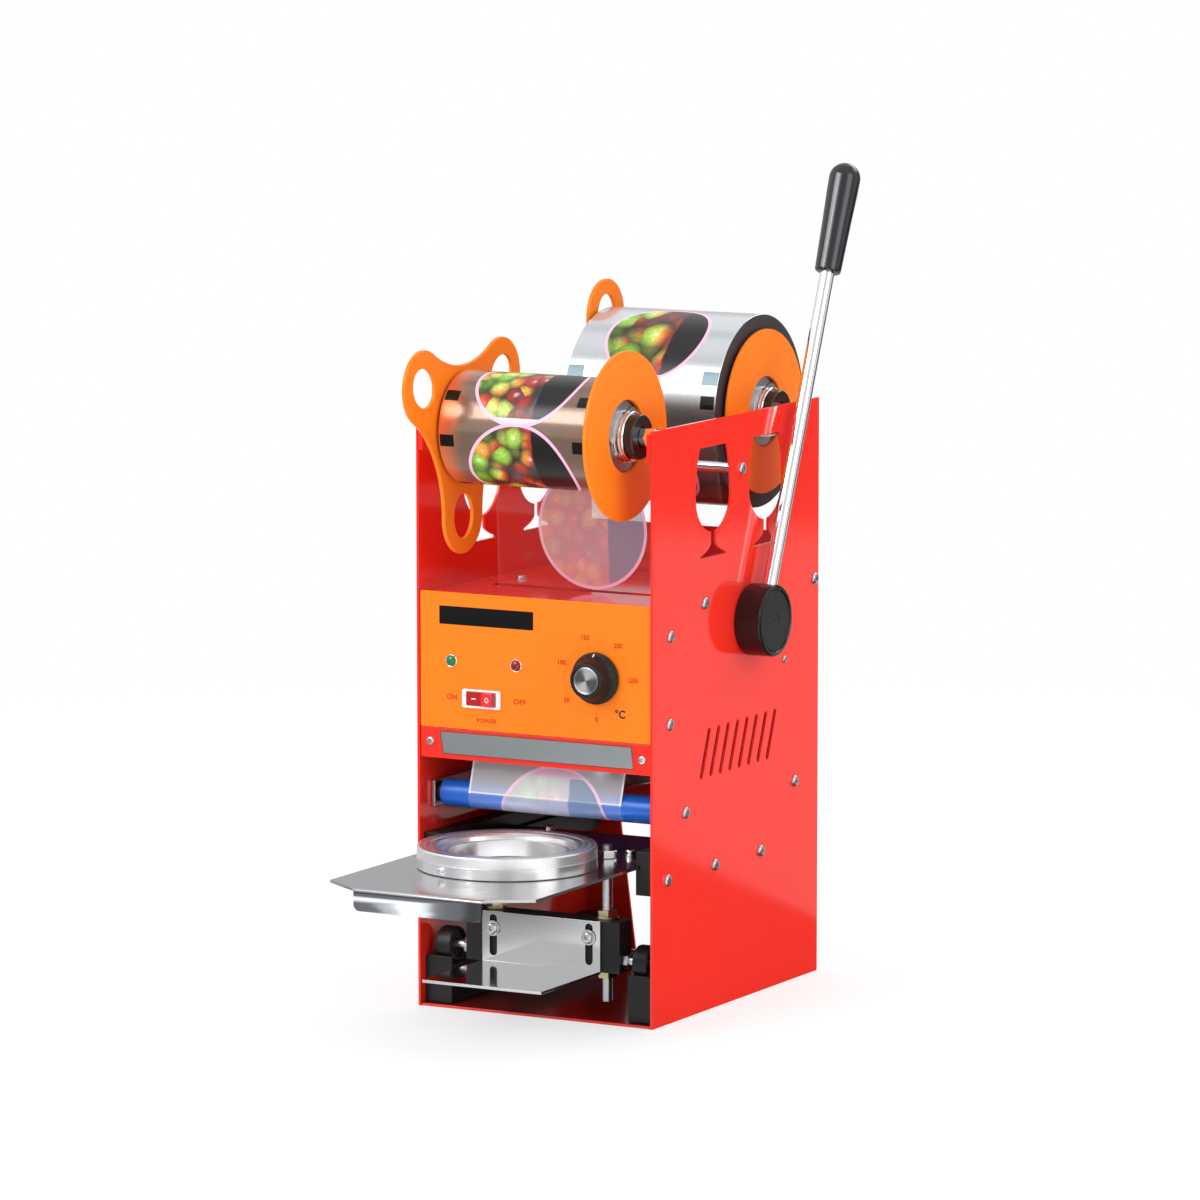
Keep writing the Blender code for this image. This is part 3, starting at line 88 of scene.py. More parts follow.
# ---------------------------------------------------------------- places the frame gives
PANEL_FRONT, PANEL_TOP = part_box("control_panel")[0].y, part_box("control_panel")[1].z
INNER_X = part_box("top_deck")[1].x
OUTER_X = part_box("left_side_panel")[0].x * -1
FRONT_Y, BACK_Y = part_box("left_side_panel")[0].y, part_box("left_side_panel")[1].y
DECK_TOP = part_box("top_deck")[1].z
RING_LOW, RING_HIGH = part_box("cup_ring")
RING_Y = middle("cup_ring").y
TRAY_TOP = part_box("tray_plate")[1].z
HUB_LOW, HUB_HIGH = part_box("lever_hub")
SHAFT_Y, SHAFT_Z = middle("main_shaft").y, middle("main_shaft").z
TIE_Y, TIE_Z = middle("tie_rod").y, middle("tie_rod").z
TAKEUP, SUPPLY = middle("takeup_flange"), middle("supply_flange")
FILM_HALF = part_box("takeup_film")[1].x
TAKEUP_FILM_RADIUS, SUPPLY_FILM_RADIUS = half_height("takeup_film"), half_height("supply_film")
GREEN_AT, RED_AT = flat_middle("green_lamp"), flat_middle("red_lamp")
KNOB_AT, SWITCH_AT = flat_middle("dial_knob"), flat_middle("switch_housing")

# ---------------------------------------------------------------- sizes of its own
SHEET = 2 * MM
HOUSING_HEIGHT = 0.425
GLASS_CENTRES = (-0.0375, 0.044)
HEAD_Y = -0.040
LOBE_REACH = 0.064
ROLL_BORE = 7.6 * MM
PANEL_BOTTOM = 0.2037
LAMP_HOLE = 4.65 * MM
SWITCH_HOLE = (0.0291, 0.0116)
OVERLAY_THICK = 0.25 * MM
PRINT = 0.06 * MM
SLOT_EDGE_Y = -0.070
HOLE_RADIUS = 54.5 * MM
LAST_PRINT = 0.419 - 0.3443
WEB_PITCH = 0.10825


# ---------------------------------------------------------------- finishes
class Value:
    """A number's socket, which adds Math nodes when it is worked with."""

    def __init__(self, paint, socket):
        self.paint = paint
        self.socket = socket

    def sum(self, operation, *others):
        return self.paint.maths(operation, self, *others)

    def __add__(self, other):
        return self.sum("ADD", other)

    __radd__ = __add__

    def __mul__(self, other):
        return self.sum("MULTIPLY", other)

    __rmul__ = __mul__

    def __sub__(self, other):
        return self.sum("SUBTRACT", other)

    def __rsub__(self, other):
        return self.paint.maths("SUBTRACT", other, self)

    def __truediv__(self, other):
        return self.sum("DIVIDE", other)

    def above(self, limit):
        return self.sum("GREATER_THAN", limit)

    def below(self, limit):
        return self.sum("LESS_THAN", limit)

    def root(self):
        return self.sum("POWER", 0.5)

    def size(self):
        return self.sum("ABSOLUTE")

    def wave(self):
        return self.sum("SINE")

    def between(self, low, high):
        """0 below low, 1 above high, and smooth on the way."""
        paint = self.paint
        return paint.node("MapRange", {"interpolation_type": "SMOOTHSTEP"},
                          {"Value": self, "From Min": low, "From Max": high})


class Tree:
    """A node tree that is filled by code."""

    def __init__(self, tree):
        self.tree = tree
        self.places = {}

    def feed(self, socket, value):
        if isinstance(value, Value):
            value = value.socket
        if isinstance(value, bpy.types.NodeSocket):
            self.tree.links.new(value, socket)
        elif socket.type == "RGBA":
            socket.default_value = (*value, 1.0)
        else:
            socket.default_value = value

    def node(self, kind, settings=None, inputs=None, output=0):
        """Adds a node: its settings first, with a ramp's stops, then its sockets' values or links."""
        node = self.tree.nodes.new("ShaderNode" + kind)
        for key, value in (settings or {}).items():
            if key == "stops":
                self.fill_ramp(node.color_ramp, value)
            else:
                setattr(node, key, value)
        for key, value in (inputs or {}).items():
            self.feed(node.inputs[key], value)
        if isinstance(output, tuple):
            return [Value(self, node.outputs[key]) for key in output]
        socket = node.outputs[output]
        return Value(self, socket) if socket.type == "VALUE" else socket

    def fill_ramp(self, ramp, stops):
        while len(ramp.elements) < len(stops):
            ramp.elements.new(0.5)
        for element, (place, colour) in zip(ramp.elements, stops):
            element.position = place
            element.color = (*colour, 1.0)

    def maths(self, operation, *terms):
        return self.node("Math", {"operation": operation}, dict(enumerate(terms)))

    def most(self, first, second):
        return self.maths("MAXIMUM", first, second)

    def mix(self, share, first, second):
        return self.node("Mix", {"data_type": "RGBA"}, {0: share, 6: first, 7: second}, 2)

    def parts(self, vector):
        return self.node("SeparateXYZ", None, {0: vector}, (0, 1, 2))

    def rays(self):
        """Whether the ray comes from the camera, a reflection or a clear body."""
        return self.node("LightPath", output=("Is Camera Ray", "Is Glossy Ray", "Is Transmission Ray"))


class Paint(Tree):
    """One material, made procedurally."""

    def __init__(self, name, colour=(0.8, 0.8, 0.8), metal=0.0, rough=0.4, **constants):
        self.material = bpy.data.materials.new(name)
        self.material.use_nodes = True
        super().__init__(self.material.node_tree)
        self.shader = self.tree.nodes["Principled BSDF"]
        self.set("Base Color", colour)
        self.set("Metallic", metal)
        self.set("Roughness", rough)
        for key, value in constants.items():
            self.set(key.replace("_", " "), value)

    def set(self, socket, value):
        self.feed(self.shader.inputs[socket], value)

    def kept(self, key, kind, settings=None, output=0):
        """A node's output, made once for each material."""
        if key not in self.places:
            self.places[key] = self.node(kind, settings, None, output)
        return self.places[key]

    def object_place(self):
        return self.kept("object", "TexCoord", output=3)

    def sheet_place(self):
        return self.kept("sheet", "UVMap", {"uv_map": "UVMap"})

    def stretched(self, place, scale):
        return self.node("Mapping", None, {0: place, 3: scale})

    def moved(self, centre=(0, 0, 0), scale=(1, 1, 1)):
        """Object coordinates measured from a centre and stretched."""
        shifted = self.node("VectorMath", {"operation": "SUBTRACT"}, {0: self.object_place(), 1: centre})
        return self.stretched(shifted, scale)

    def noise(self, scale, detail=2.0, place=None, rough=0.5):
        place = place or self.object_place()
        inputs = {"Vector": place, "Scale": scale, "Detail": detail, "Roughness": rough}
        return self.node("TexNoise", None, inputs)

    def bump(self, height, depth, strength=1.0):
        inputs = {"Height": height, "Distance": depth, "Strength": strength}
        self.set("Normal", self.node("Bump", None, inputs))
        return self

    def spread(self, scale, low, high):
        """Noise mapped to run from low to high."""
        return low + self.noise(scale) * (high - low)

    def tinted(self, colour, scale, share):
        """The colour with faint lighter and darker clouds."""
        pale = tuple(min(1.0, channel * (1 + share)) for channel in colour)
        return self.mix(self.noise(scale, 4.0), scaled(colour, 1 - share), pale)


def scaled(colour, share):
    return tuple(channel * share for channel in colour)


def enamel(name, colour, rough=0.09, unshaded_front_colour=None):
    """Stoved gloss enamel with a faint orange peel; its front edge may keep a plain colour of its own while
    the rest takes the darker colour given, which is painted shade.
    """
    paint = Paint(name, colour, 0.0, rough)
    shade = paint.tinted(colour, 14, 0.05)
    if unshaded_front_colour:
        unshaded_front_edge = paint.parts(paint.object_place())[1].below(FRONT_Y + 1.5 * MM)
        shade = paint.mix(unshaded_front_edge, shade, unshaded_front_colour)
    paint.set("Base Color", shade)
    paint.set("Roughness", paint.spread(60, rough * 0.8, rough * 1.3))
    return paint.bump(paint.noise(260, 1.5), 0.008 * MM)


def moulded(name, colour, rough=0.38, grain=1500, depth=0.02, shine=0.4, coat=0.0):
    """Moulded plastic or rubber with a fine grain and slight unevenness of sheen."""
    paint = Paint(name, colour, 0.0, rough, Coat_Weight=coat, Coat_Roughness=0.08, Specular_IOR_Level=shine)
    paint.set("Base Color", paint.tinted(colour, 35, 0.08))
    paint.set("Roughness", paint.spread(90, rough * 0.85, rough * 1.2))
    return paint.bump(paint.noise(grain, 3.0), depth * MM)


def lit_rocker():
    """The rocker's red plastic, which glows on the half over its lamp; that glow also stands for light on
    this recessed half, which the bezel shades, and the faint glow on the other half is painted light.
    """
    paint = moulded("red_rocker", (0.42, 0.006, 0.006), 0.18, 1200, 0.004, coat=0.5)
    across = paint.parts(paint.object_place())[0]
    lit = across.between(SWITCH_AT[0] - 0.6 * MM, SWITCH_AT[0] + 1.5 * MM)
    # Emission on the right half stands for the switch's lamp and for light into the bezel's shade; the faint
    # emission on the left half is painted light.
    paint.set("Emission Color", paint.mix(lit, (0.05, 0.0, 0.0), (0.62, 0.020, 0.035)))
    paint.set("Emission Strength", 1.0)
    return paint


def bright(name, colour, rough, smear=0.05, grain=700, depth=0.002):
    """Plated or polished metal: smooth, with a little haze."""
    paint = Paint(name, colour, 1.0, rough)
    paint.set("Base Color", paint.tinted(colour, 25, 0.03))
    paint.set("Roughness", paint.spread(45, rough, rough + smear))
    return paint.bump(paint.noise(grain, 2.0), depth * MM)


def brushed(name, colour, rough, stretch, depth=0.004, painted_shade_below_z=None, painted_shade_colour=None):
    """Sheet metal with a straight grain; stretch is small along the grain. Below a given height it may take a
    darker colour, which is painted shade.
    """
    paint = Paint(name, colour, 1.0, rough)
    grain = paint.noise(1.0, 4.0, paint.moved(scale=stretch), 0.65)
    shade = paint.mix(grain, scaled(colour, 0.90), colour)
    # Painted shade: the sheet below the given height gets a darker colour.
    if painted_shade_colour:
        shade = paint.mix(paint.parts(paint.object_place())[2].below(painted_shade_below_z), shade, painted_shade_colour)
    paint.set("Base Color", shade)
    paint.set("Roughness", rough * 0.75 + grain * rough * 0.55)
    return paint.bump(grain, depth * MM)


def lathe_turned(name, rough, centre_y, pitch, depth=0.004, metal=1.0):
    """Aluminium faced on a lathe: fine rings about an upright line."""
    paint = Paint(name, ALUMINIUM, metal, rough)
    x, y, _ = paint.parts(paint.moved((0, centre_y, 0)))
    radius = (x * x + y * y).root()
    wander = paint.noise(60, 2.0) * 0.6
    groove = (radius * (2 * math.pi / pitch) + wander * 6.0).wave()
    coarse = (radius * (2 * math.pi / (pitch * 6.3))).wave()
    ridge = groove * 0.6 + coarse * 0.4
    paint.set("Base Color", paint.mix(ridge * 0.5 + 0.5, scaled(ALUMINIUM, 0.86), ALUMINIUM))
    paint.set("Roughness", rough + ridge * (rough * 0.3))
    return paint.bump(ridge, depth * MM)


def spun_face(name, colour, rough, centre):
    """Metal spun about a line along Y, with fine rings in its bump and wedges of painted highlight and
    painted shade in its colour, where the rings' sheen would fall.
    """
    paint = Paint(name, colour, 1.0, rough)
    x, _, z = paint.parts(paint.moved(centre))
    painted_sheen_wedge = (paint.maths("ARCTAN2", z, x) * 2 - 0.7).wave().between(-0.75, 0.9)
    ring = ((x * x + z * z).root() * (2 * math.pi / (0.35 * MM))).wave()
    # Painted highlight: the colour runs from dark to bright in wedges round the centre.
    paint.set("Base Color", paint.mix(painted_sheen_wedge, scaled(colour, 0.26), colour))
    paint.set("Roughness", rough + ring * 0.05 + painted_sheen_wedge * 0.08)
    return paint.bump(ring, 0.003 * MM)


def repeated(paint, v, middle_v, pitch):
    """The distance along the film from the nearest of the repeats."""
    return paint.maths("FLOORED_MODULO", v - middle_v + pitch / 2, pitch) - pitch / 2


def disc_print(paint, place, middle_v, pitch, radius):
    """Repeating round prints: masks for the disc, its edge, its dark side, and its plain foot."""
    u, v, _ = paint.parts(place)
    along = repeated(paint, v, middle_v, pitch)
    reach = (u * u + along * along).root()
    disc = 1 - reach.between(radius - 0.2 * MM, radius + 0.1 * MM)
    edge = reach.between(radius - 2.6 * MM, radius - 2.2 * MM)
    dark = (u + paint.noise(60, 1.0, place) * 0.004).between(13.5 * MM, 15.5 * MM)
    foot = along.between(35.2 * MM, 35.6 * MM)
    return disc, edge, dark, foot


def fruit(paint, place, scale=88.0):
    """Plump overlapping berries: green to the left, orange and red to the right, dark between."""
    wobble = paint.node("TexNoise", None, {"Vector": place, "Scale": 60.0}, 1)
    bent = paint.node("Mix", {"data_type": "VECTOR"}, {0: 0.004, 4: place, 5: wobble}, 1)
    cells = {"Vector": bent, "Scale": scale, "Randomness": 0.9}
    pick = paint.parts(paint.node("TexVoronoi", None, cells, 1))[0]
    gap = paint.node("TexVoronoi", None, cells, 0)
    across = paint.parts(place)[0]
    region = paint.noise(38.0, 1.0, place)
    stops = [(0.0, (0.14, 0.40, 0.02)), (0.24, (0.30, 0.66, 0.06)), (0.40, (0.66, 0.78, 0.14)),
             (0.50, (0.98, 0.36, 0.05)), (0.62, (0.66, 0.05, 0.03)), (0.80, (0.26, 0.02, 0.03)),
             (1.0, (0.12, 0.17, 0.20))]
    tone = across * 12.0 + 0.66 + (pick - 0.5) * 0.55 + (region - 0.5) * 0.8
    colour = paint.node("ValToRGB", {"stops": stops}, {0: tone})
    lit = 1 - gap.between(0.24, 0.90)
    shaded = paint.mix(lit, (0.035, 0.030, 0.020), colour)
    speckle = paint.noise(420.0, 2.0, place).between(0.35, 0.75)
    shaded = paint.mix(speckle * 0.35, shaded, (0.05, 0.035, 0.02))
    glint = 1 - gap.between(0.02, 0.26)
    return paint.mix(glint * 0.55, shaded, (1.0, 1.0, 0.80))


def printed_film(name, base, rough, metal, radius, layers, marks, star_reflection_share=0.0, scale=88.0, shade=None):
    """Film wound on a roll: clear margins over what lies below, with repeating round prints.

    layers are the discs' (middle, pitch), marks the blocks' (middle, pitch, half length, left, right, half
    width, colour), star_reflection_share the share of painted orange reflection of the star on the film
    beside it, and shade the heights between which the film turns from painted shade to a painted highlight.
    """
    paint = Paint(name, base, metal, rough, Coat_Roughness=0.06, Specular_IOR_Level=0.35)
    place = paint.sheet_place()
    streak = paint.noise(1.0, 3.0, paint.stretched(place, (420, 5, 1)))
    colour = paint.mix(streak, scaled(base, 0.86), scaled(base, 1.08))
    u, v, _ = paint.parts(place)
    # Painted reflection: the film beside the orange star takes an orange tint, and its gloss is dulled there.
    star_reflection_area = 1 - (u + paint.noise(30, 1.0, place) * 0.01).between(-0.058, -0.036)
    colour = paint.mix(star_reflection_area * star_reflection_share, colour, (1.0, 0.22, 0.06))
    # Painted shade low on the roll, and a painted highlight, a share of white, high on it.
    if shade:
        lit = paint.parts(paint.object_place())[2].between(*shade)
        colour = paint.mix(lit, scaled(base, 0.22), paint.mix(0.32, colour, (1.0, 1.0, 1.0)))
    for middle_v, pitch, half_long, left, right, half_wide, ink in marks:
        sides = (u - left).size().below(half_wide) + (u - right).size().below(half_wide)
        colour = paint.mix(sides * repeated(paint, v, middle_v, pitch).size().below(half_long), colour, ink)
    picture = fruit(paint, place, scale)
    masked = 0
    for middle_v, pitch in layers:
        disc, edge, dark, foot = disc_print(paint, place, middle_v, pitch, radius)
        inside = paint.mix(dark, picture, (0.012, 0.011, 0.012))
        inside = paint.mix(foot, inside, (0.95, 0.62, 0.80))
        inside = paint.mix(edge, inside, PINK)
        colour = paint.mix(disc, colour, inside)
        masked = disc + masked
    cover = masked.between(0.0, 1.0)
    paint.set("Base Color", colour)
    paint.set("Metallic", (1 - cover) * metal)
    paint.set("Roughness", rough + streak * 0.08 + cover * 0.10 + star_reflection_area * (star_reflection_share * 0.30))
    paint.set("Coat Weight", (1 - cover) * 0.3 * (1 - star_reflection_area * min(star_reflection_share * 1.25, 1.0)))
    return paint.bump(streak, 0.01 * MM)


def web_film(name, middle_v, slot_v, roller_v, pitch, radius=44 * MM):
    """Clear film between the rolls, nearly invisible above the deck, with pale see-through prints; round the
    front roller and up to the slot it is painted whiter and less clear, a painted reflection, with a painted
    highlight where it leaves the roller and along its edges.
    """
    paint = Paint(name, (0.8, 0.8, 0.82), 0.0, 0.12, Coat_Weight=0.3)
    u, v, _ = paint.parts(paint.sheet_place())
    above = v.between(slot_v - 0.06, slot_v - 0.03)
    # Round the front roller and up to the slot the film is painted whiter and less clear, with paler prints:
    # a painted reflection.
    below = (1 - above) * v.between(roller_v - 0.05, roller_v - 0.04)
    # The stretch from the front roller up to the slot is painted more opaque and white: a painted sheen.
    loose = below * v.between(roller_v - 0.0015, roller_v)
    # A painted highlight line where the film leaves the front roller.
    painted_bend_highlight = below * (1 - (v - roller_v).size().between(0.2 * MM, 0.9 * MM))
    place = paint.node("CombineXYZ", None, {0: u - (0.0160 - below * 0.0094), 1: v})
    disc, edge, dark, foot = disc_print(paint, place, middle_v, pitch, radius)
    pale = paint.mix(below, (0.97, 0.63, 0.69), (0.90, 0.93, 0.96))
    picture = paint.mix(0.68 + below * 0.07, fruit(paint, place), pale)
    inside = paint.mix(dark, picture, (0.28, 0.38, 0.52))
    inside = paint.mix(foot, inside, (0.90, 0.58, 0.74))
    inside = paint.mix(edge, inside, (0.93, 0.60, 0.80))
    ripple = paint.noise(1.0, 2.0, paint.stretched(place, (12, 60, 1)))
    plain = paint.mix(painted_bend_highlight, (0.88, 0.92, 0.97), (1.0, 1.0, 1.0))
    paint.set("Base Color", paint.mix(disc, plain, inside))
    # Painted highlight along the film's two edges, strongest on the stretch up to the slot.
    painted_edge_highlight = u.size().between(FILM_HALF - 2.2 * MM, FILM_HALF - 0.6 * MM)
    film = 0.035 + below * 0.07 + loose * 0.33 + painted_bend_highlight * 0.30 + painted_edge_highlight * (0.04 + loose * 0.42)
    print_cover = above * 0.70 + below * 0.42
    paint.set("Alpha", film + disc * print_cover * (1 + edge * 0.3))
    return paint.bump(ripple, 0.4 * MM, 0.5)


RED = (0.845, 0.026, 0.014)
ORANGE = (1.0, 0.212, 0.010)
OVERLAY_ORANGE = (1.0, 0.208, 0.010)
STEEL = (0.62, 0.62, 0.64)
CHROME = (0.86, 0.86, 0.88)
ALUMINIUM = (0.93, 0.93, 0.94)
ZINC = (0.46, 0.41, 0.26)
PINK = (0.93, 0.50, 0.70)
MARK_INK = (0.008, 0.008, 0.008)
BLOCK_INK = (0.055, 0.085, 0.10)

TAKEUP_MARKS = [(middle_v, 0.0809, 4.3 * MM, -0.0553, 0.0510, 5.6 * MM, MARK_INK)
                for middle_v in (0.1093, 0.1428)]
SUPPLY_MARKS = [(0.1925, 0.1105, 5.2 * MM, -0.0553, 0.0552, 6.5 * MM, BLOCK_INK),
                (0.2104, 0.1105, 4.8 * MM, -0.0553, 0.0552, 5.6 * MM, MARK_INK)]

FINISH = {
    "red": enamel("red_enamel", RED),
    # The base plate's floor is painted dark as painted shade; only its front edge keeps the plain red.
    "red_floor_painted_shade": enamel("red_enamel_painted_shade", (0.20, 0.008, 0.006), 0.12, RED),
    "orange": moulded("orange_moulding", ORANGE, 0.34, 900, 0.012, 0.18),
    "overlay": moulded("orange_overlay", OVERLAY_ORANGE, 0.42, 2600, 0.006, 0.15),
    "badge": moulded("bare_black_badge", (0.005, 0.005, 0.006), 0.42, 2200, 0.004, 0.12),
    "notice": brushed("bare_grey_plate", (0.36, 0.39, 0.40), 0.42, (60, 1, 2500), 0.002),
    "notice_edge": moulded("dark_red_edging", (0.33, 0.035, 0.02), 0.4),
    "legend": moulded("legend_ink", (0.66, 0.030, 0.006), 0.5, 2600, 0.004, 0.1),
    "black_ink": moulded("black_ink", (0.012, 0.010, 0.009), 0.5, 2600, 0.004),
    "chrome": bright("chrome_plate", CHROME, 0.05, 0.06, 160, 0.0004),
    "steel": bright("plain_steel", STEEL, 0.22, 0.14, 900, 0.006),
    "zinc": bright("yellow_zinc", ZINC, 0.22, 0.16, 900, 0.006),
    # The tray's bent front lip, below its top, is painted darker than the same steel above: painted shade.
    "mirror_tray": brushed("polished_tray_steel", (0.52, 0.52, 0.53), 0.17, (3, 900, 900), 0.0012,
                           TRAY_TOP - 2.4 * MM, (0.165, 0.17, 0.185)),
    "mirror_support": brushed("polished_support_steel", (0.66, 0.66, 0.67), 0.10, (3, 900, 900), 0.001),
    "bridge": brushed("brushed_bridge_steel", STEEL, 0.30, (4, 700, 700)),
    "stainless": brushed("brushed_carrier_steel", (0.66, 0.66, 0.68), 0.28, (4, 700, 700)),
    "spring": bright("spring_wire", (0.47, 0.47, 0.49), 0.26, 0.12),
    "disc": bright("grey_clamp_disc", (0.47, 0.48, 0.48), 0.30, 0.15),
    "black": moulded("black_nylon", (0.009, 0.009, 0.010), 0.42, 1400, 0.02, 0.3),
    "gloss_black": moulded("polished_black_phenolic", (0.007, 0.007, 0.008), 0.17, 300, 0.004, 0.45),
    "grip": moulded("bluish_black_grip", (0.008, 0.010, 0.013), 0.14, 300, 0.004, 0.6),
    "cap": moulded("dark_grey_cap", (0.014, 0.016, 0.015), 0.45, 1200, 0.012, 0.35),
    "collar": moulded("blackened_collar", (0.010, 0.010, 0.011), 0.22, 700, 0.004, 0.6),
    "blue": moulded("blue_rubber", (0.008, 0.125, 0.60), 0.30, 800),
    "white": moulded("white_moulding", (0.86, 0.86, 0.86), 0.32, 1500, 0.008),
    "card": moulded("kraft_card", (0.40, 0.27, 0.17), 0.75, 700, 0.06),
    "supply_end": moulded("wound_film_edge", (0.045, 0.034, 0.036), 0.5, 1600, 0.03),
    "takeup_end": moulded("wound_card_edge", (0.30, 0.22, 0.16), 0.6, 1600, 0.03),
    "red_lens": moulded("red_lamp_lens", (0.24, 0.004, 0.006), 0.12, 500, 0.004, coat=0.3),
    "green_lens": moulded("green_lamp_lens", (0.010, 0.17, 0.060), 0.12, 500, 0.004, coat=0.3),
    "rocker": lit_rocker(),
    "ring": lathe_turned("turned_ring_aluminium", 0.24, RING_Y, 0.7 * MM, 0.006, 0.92),
    "plate": lathe_turned("turned_plate_aluminium", 0.25, HEAD_Y, 0.9 * MM),
    "knob_cap": spun_face("spun_knob_cap", (0.80, 0.80, 0.82), 0.24, (0.050, 0, 0.248)),
    "takeup_print": printed_film("takeup_printed_film", (0.235, 0.155, 0.115), 0.13, 0.45, 42 * MM,
                                 [(0.1697, 0.1618), (0.0888, 0.1618)], TAKEUP_MARKS, star_reflection_share=0.8),
    # The supply film is painted dark low down and whitened high up: painted shade and painted highlight.
    "supply_print": printed_film("supply_printed_film", (0.50, 0.54, 0.58), 0.17, 0.70, 40.5 * MM,
                                 [(0.1565, 0.1105)], SUPPLY_MARKS, scale=56.0,
                                 shade=(SUPPLY.z - 10 * MM, SUPPLY.z + 55 * MM)),
}


# ---------------------------------------------------------------- shaping helpers
def turned_to(axis):
    """The matrix that takes local Z to the named axis, keeping the order (u, v, axis)."""
    columns = {"Z": ((1, 0, 0), (0, 1, 0), (0, 0, 1)),
               "X": ((0, 1, 0), (0, 0, 1), (1, 0, 0)),
               "Y": ((0, 0, 1), (1, 0, 0), (0, 1, 0)),
               "-X": ((0, -1, 0), (0, 0, 1), (-1, 0, 0)),
               "-Y": ((1, 0, 0), (0, 0, 1), (0, -1, 0)),
               "-Z": ((0, 1, 0), (1, 0, 0), (0, 0, -1))}[axis]
    return Matrix(columns).transposed().to_4x4()


def arc(centre, radius, start, end, steps):
    """Points on an arc in degrees, both ends included."""
    angles = [math.radians(start + (end - start) * step / steps) for step in range(steps + 1)]
    return [(centre[0] + radius * math.cos(a), centre[1] + radius * math.sin(a)) for a in angles]


def circle(centre, radius, steps=48):
    return arc(centre, radius, 0, 360, steps)[:-1]


def rectangle(centre, width, height, corner=0.0, steps=4):
    """A rectangle's outline, with round corners where corner is above zero."""
    x, y = width / 2 - corner, height / 2 - corner
    if corner <= 0:
        return [(centre[0] + a * x, centre[1] + b * y) for a, b in ((-1, -1), (1, -1), (1, 1), (-1, 1))]
    outline = []
    for a, b, start in ((1, 1, 0), (-1, 1, 90), (-1, -1, 180), (1, -1, 270)):
        outline += arc((centre[0] + a * x, centre[1] + b * y), corner, start, start + 90, steps)
    return outline


def hexagon(across):
    radius = across / math.sqrt(3)
    angles = [math.radians(60 * step) for step in range(6)]
    return [(radius * math.cos(a), radius * math.sin(a)) for a in angles]


def add_outline(bm, points, height=0.0):
    corners = [bm.verts.new((u, v, height)) for u, v in points]
    return [bm.edges.new((corners[i], corners[(i + 1) % len(corners)])) for i in range(len(corners))]


def raise_faces(bm, faces, rise):
    raised = bmesh.ops.extrude_face_region(bm, geom=faces)
    moved = [part for part in raised["geom"] if isinstance(part, bmesh.types.BMVert)]
    bmesh.ops.translate(bm, verts=moved, vec=(0, 0, rise))


def soften(bm, width, angle=28, segments=2):
    """Rounds every edge sharper than the angle."""
    limit = math.radians(angle)
    sharp = [e for e in bm.edges if len(e.link_faces) == 2 and e.calc_face_angle(0) > limit]
    if sharp and width > 0:
        bmesh.ops.bevel(bm, geom=sharp, offset=width, offset_type="OFFSET", affect="EDGES", segments=segments,
                        profile=0.5, material=-1, clamp_overlap=True)
    return bm


def sheet_form(outline, holes, low, high, soft=0.3 * MM, segments=2):
    """A flat plate with holes, from low to high along local Z."""
    bm = bmesh.new()
    edges = add_outline(bm, outline, low)
    for hole in holes:
        edges += add_outline(bm, hole, low)
    bmesh.ops.triangle_fill(bm, use_beauty=True, use_dissolve=False, edges=edges, normal=(0, 0, 1))
    raise_faces(bm, bm.faces[:], high - low)
    bmesh.ops.recalc_face_normals(bm, faces=bm.faces)
    return soften(bm, soft, 40, segments)


def spun_form(profile, steps=96, soft=0.0, angle=30):
    """A profile of (radius, height) spun about local Z; one not ending on the axis is a ring."""
    bm = bmesh.new()
    points = [bm.verts.new((radius, 0, height)) for radius, height in profile]
    edges = [bm.edges.new(pair) for pair in zip(points, points[1:])]
    if profile[0][0] > 0 or profile[-1][0] > 0:
        edges.append(bm.edges.new((points[-1], points[0])))
    bmesh.ops.spin(bm, geom=points + edges, cent=(0, 0, 0), axis=(0, 0, 1), angle=2 * math.pi,
                   steps=steps, use_merge=True)
    bmesh.ops.remove_doubles(bm, verts=bm.verts, dist=1e-6)
    bmesh.ops.recalc_face_normals(bm, faces=bm.faces)
    return soften(bm, soft, angle)


def turned(profile, steps=96, soft=0.0, start=0.0):
    """A profile in millimetres spun about local Z, its heights measured from start."""
    return spun_form([(radius * MM, start + height * MM) for radius, height in profile], steps, soft)


def tube(inner, outer, low, high, steps=64, soft=0.0):
    """A ring, or a rod where inner is zero."""
    return spun_form([(inner, low), (outer, low), (outer, high), (inner, high)], steps, soft)


def barrel(inner, radius, half, corner, steps):
    """A ring or a rod as long below Z = 0 as above it, with its outer corners cut."""
    end = [(radius, half - corner), (radius - corner, half), (inner, half)]
    return spun_form([(reach, -height) for reach, height in reversed(end)] + end, steps)


def block_form(low, high, soft=0.4 * MM):
    bm = bmesh.new()
    bmesh.ops.create_cube(bm, size=1.0)
    low, high = Vector(low), Vector(high)
    bmesh.ops.scale(bm, vec=high - low, verts=bm.verts)
    bmesh.ops.translate(bm, vec=(high + low) / 2, verts=bm.verts)
    return soften(bm, soft, 40)


def placed(bm, axis="Z", centre=(0, 0, 0), turn=0.0):
    """Turns the form about local Z, takes local Z to the axis, and moves it to the centre."""
    return moved_by(bm, Matrix.Translation(centre) @ turned_to(axis) @ Matrix.Rotation(turn, 4, "Z"))


def moved_by(bm, matrix):
    bmesh.ops.transform(bm, matrix=matrix, verts=bm.verts)
    return bm


def rotation(degrees, axis):
    return Matrix.Rotation(math.radians(degrees), 4, axis)


def gathered(*forms):
    """Several closed forms as one."""
    whole = forms[0]
    for form in forms[1:]:
        mesh = bpy.data.meshes.new("part")
        form.to_mesh(mesh)
        form.free()
        whole.from_mesh(mesh)
        bpy.data.meshes.remove(mesh)
    return whole


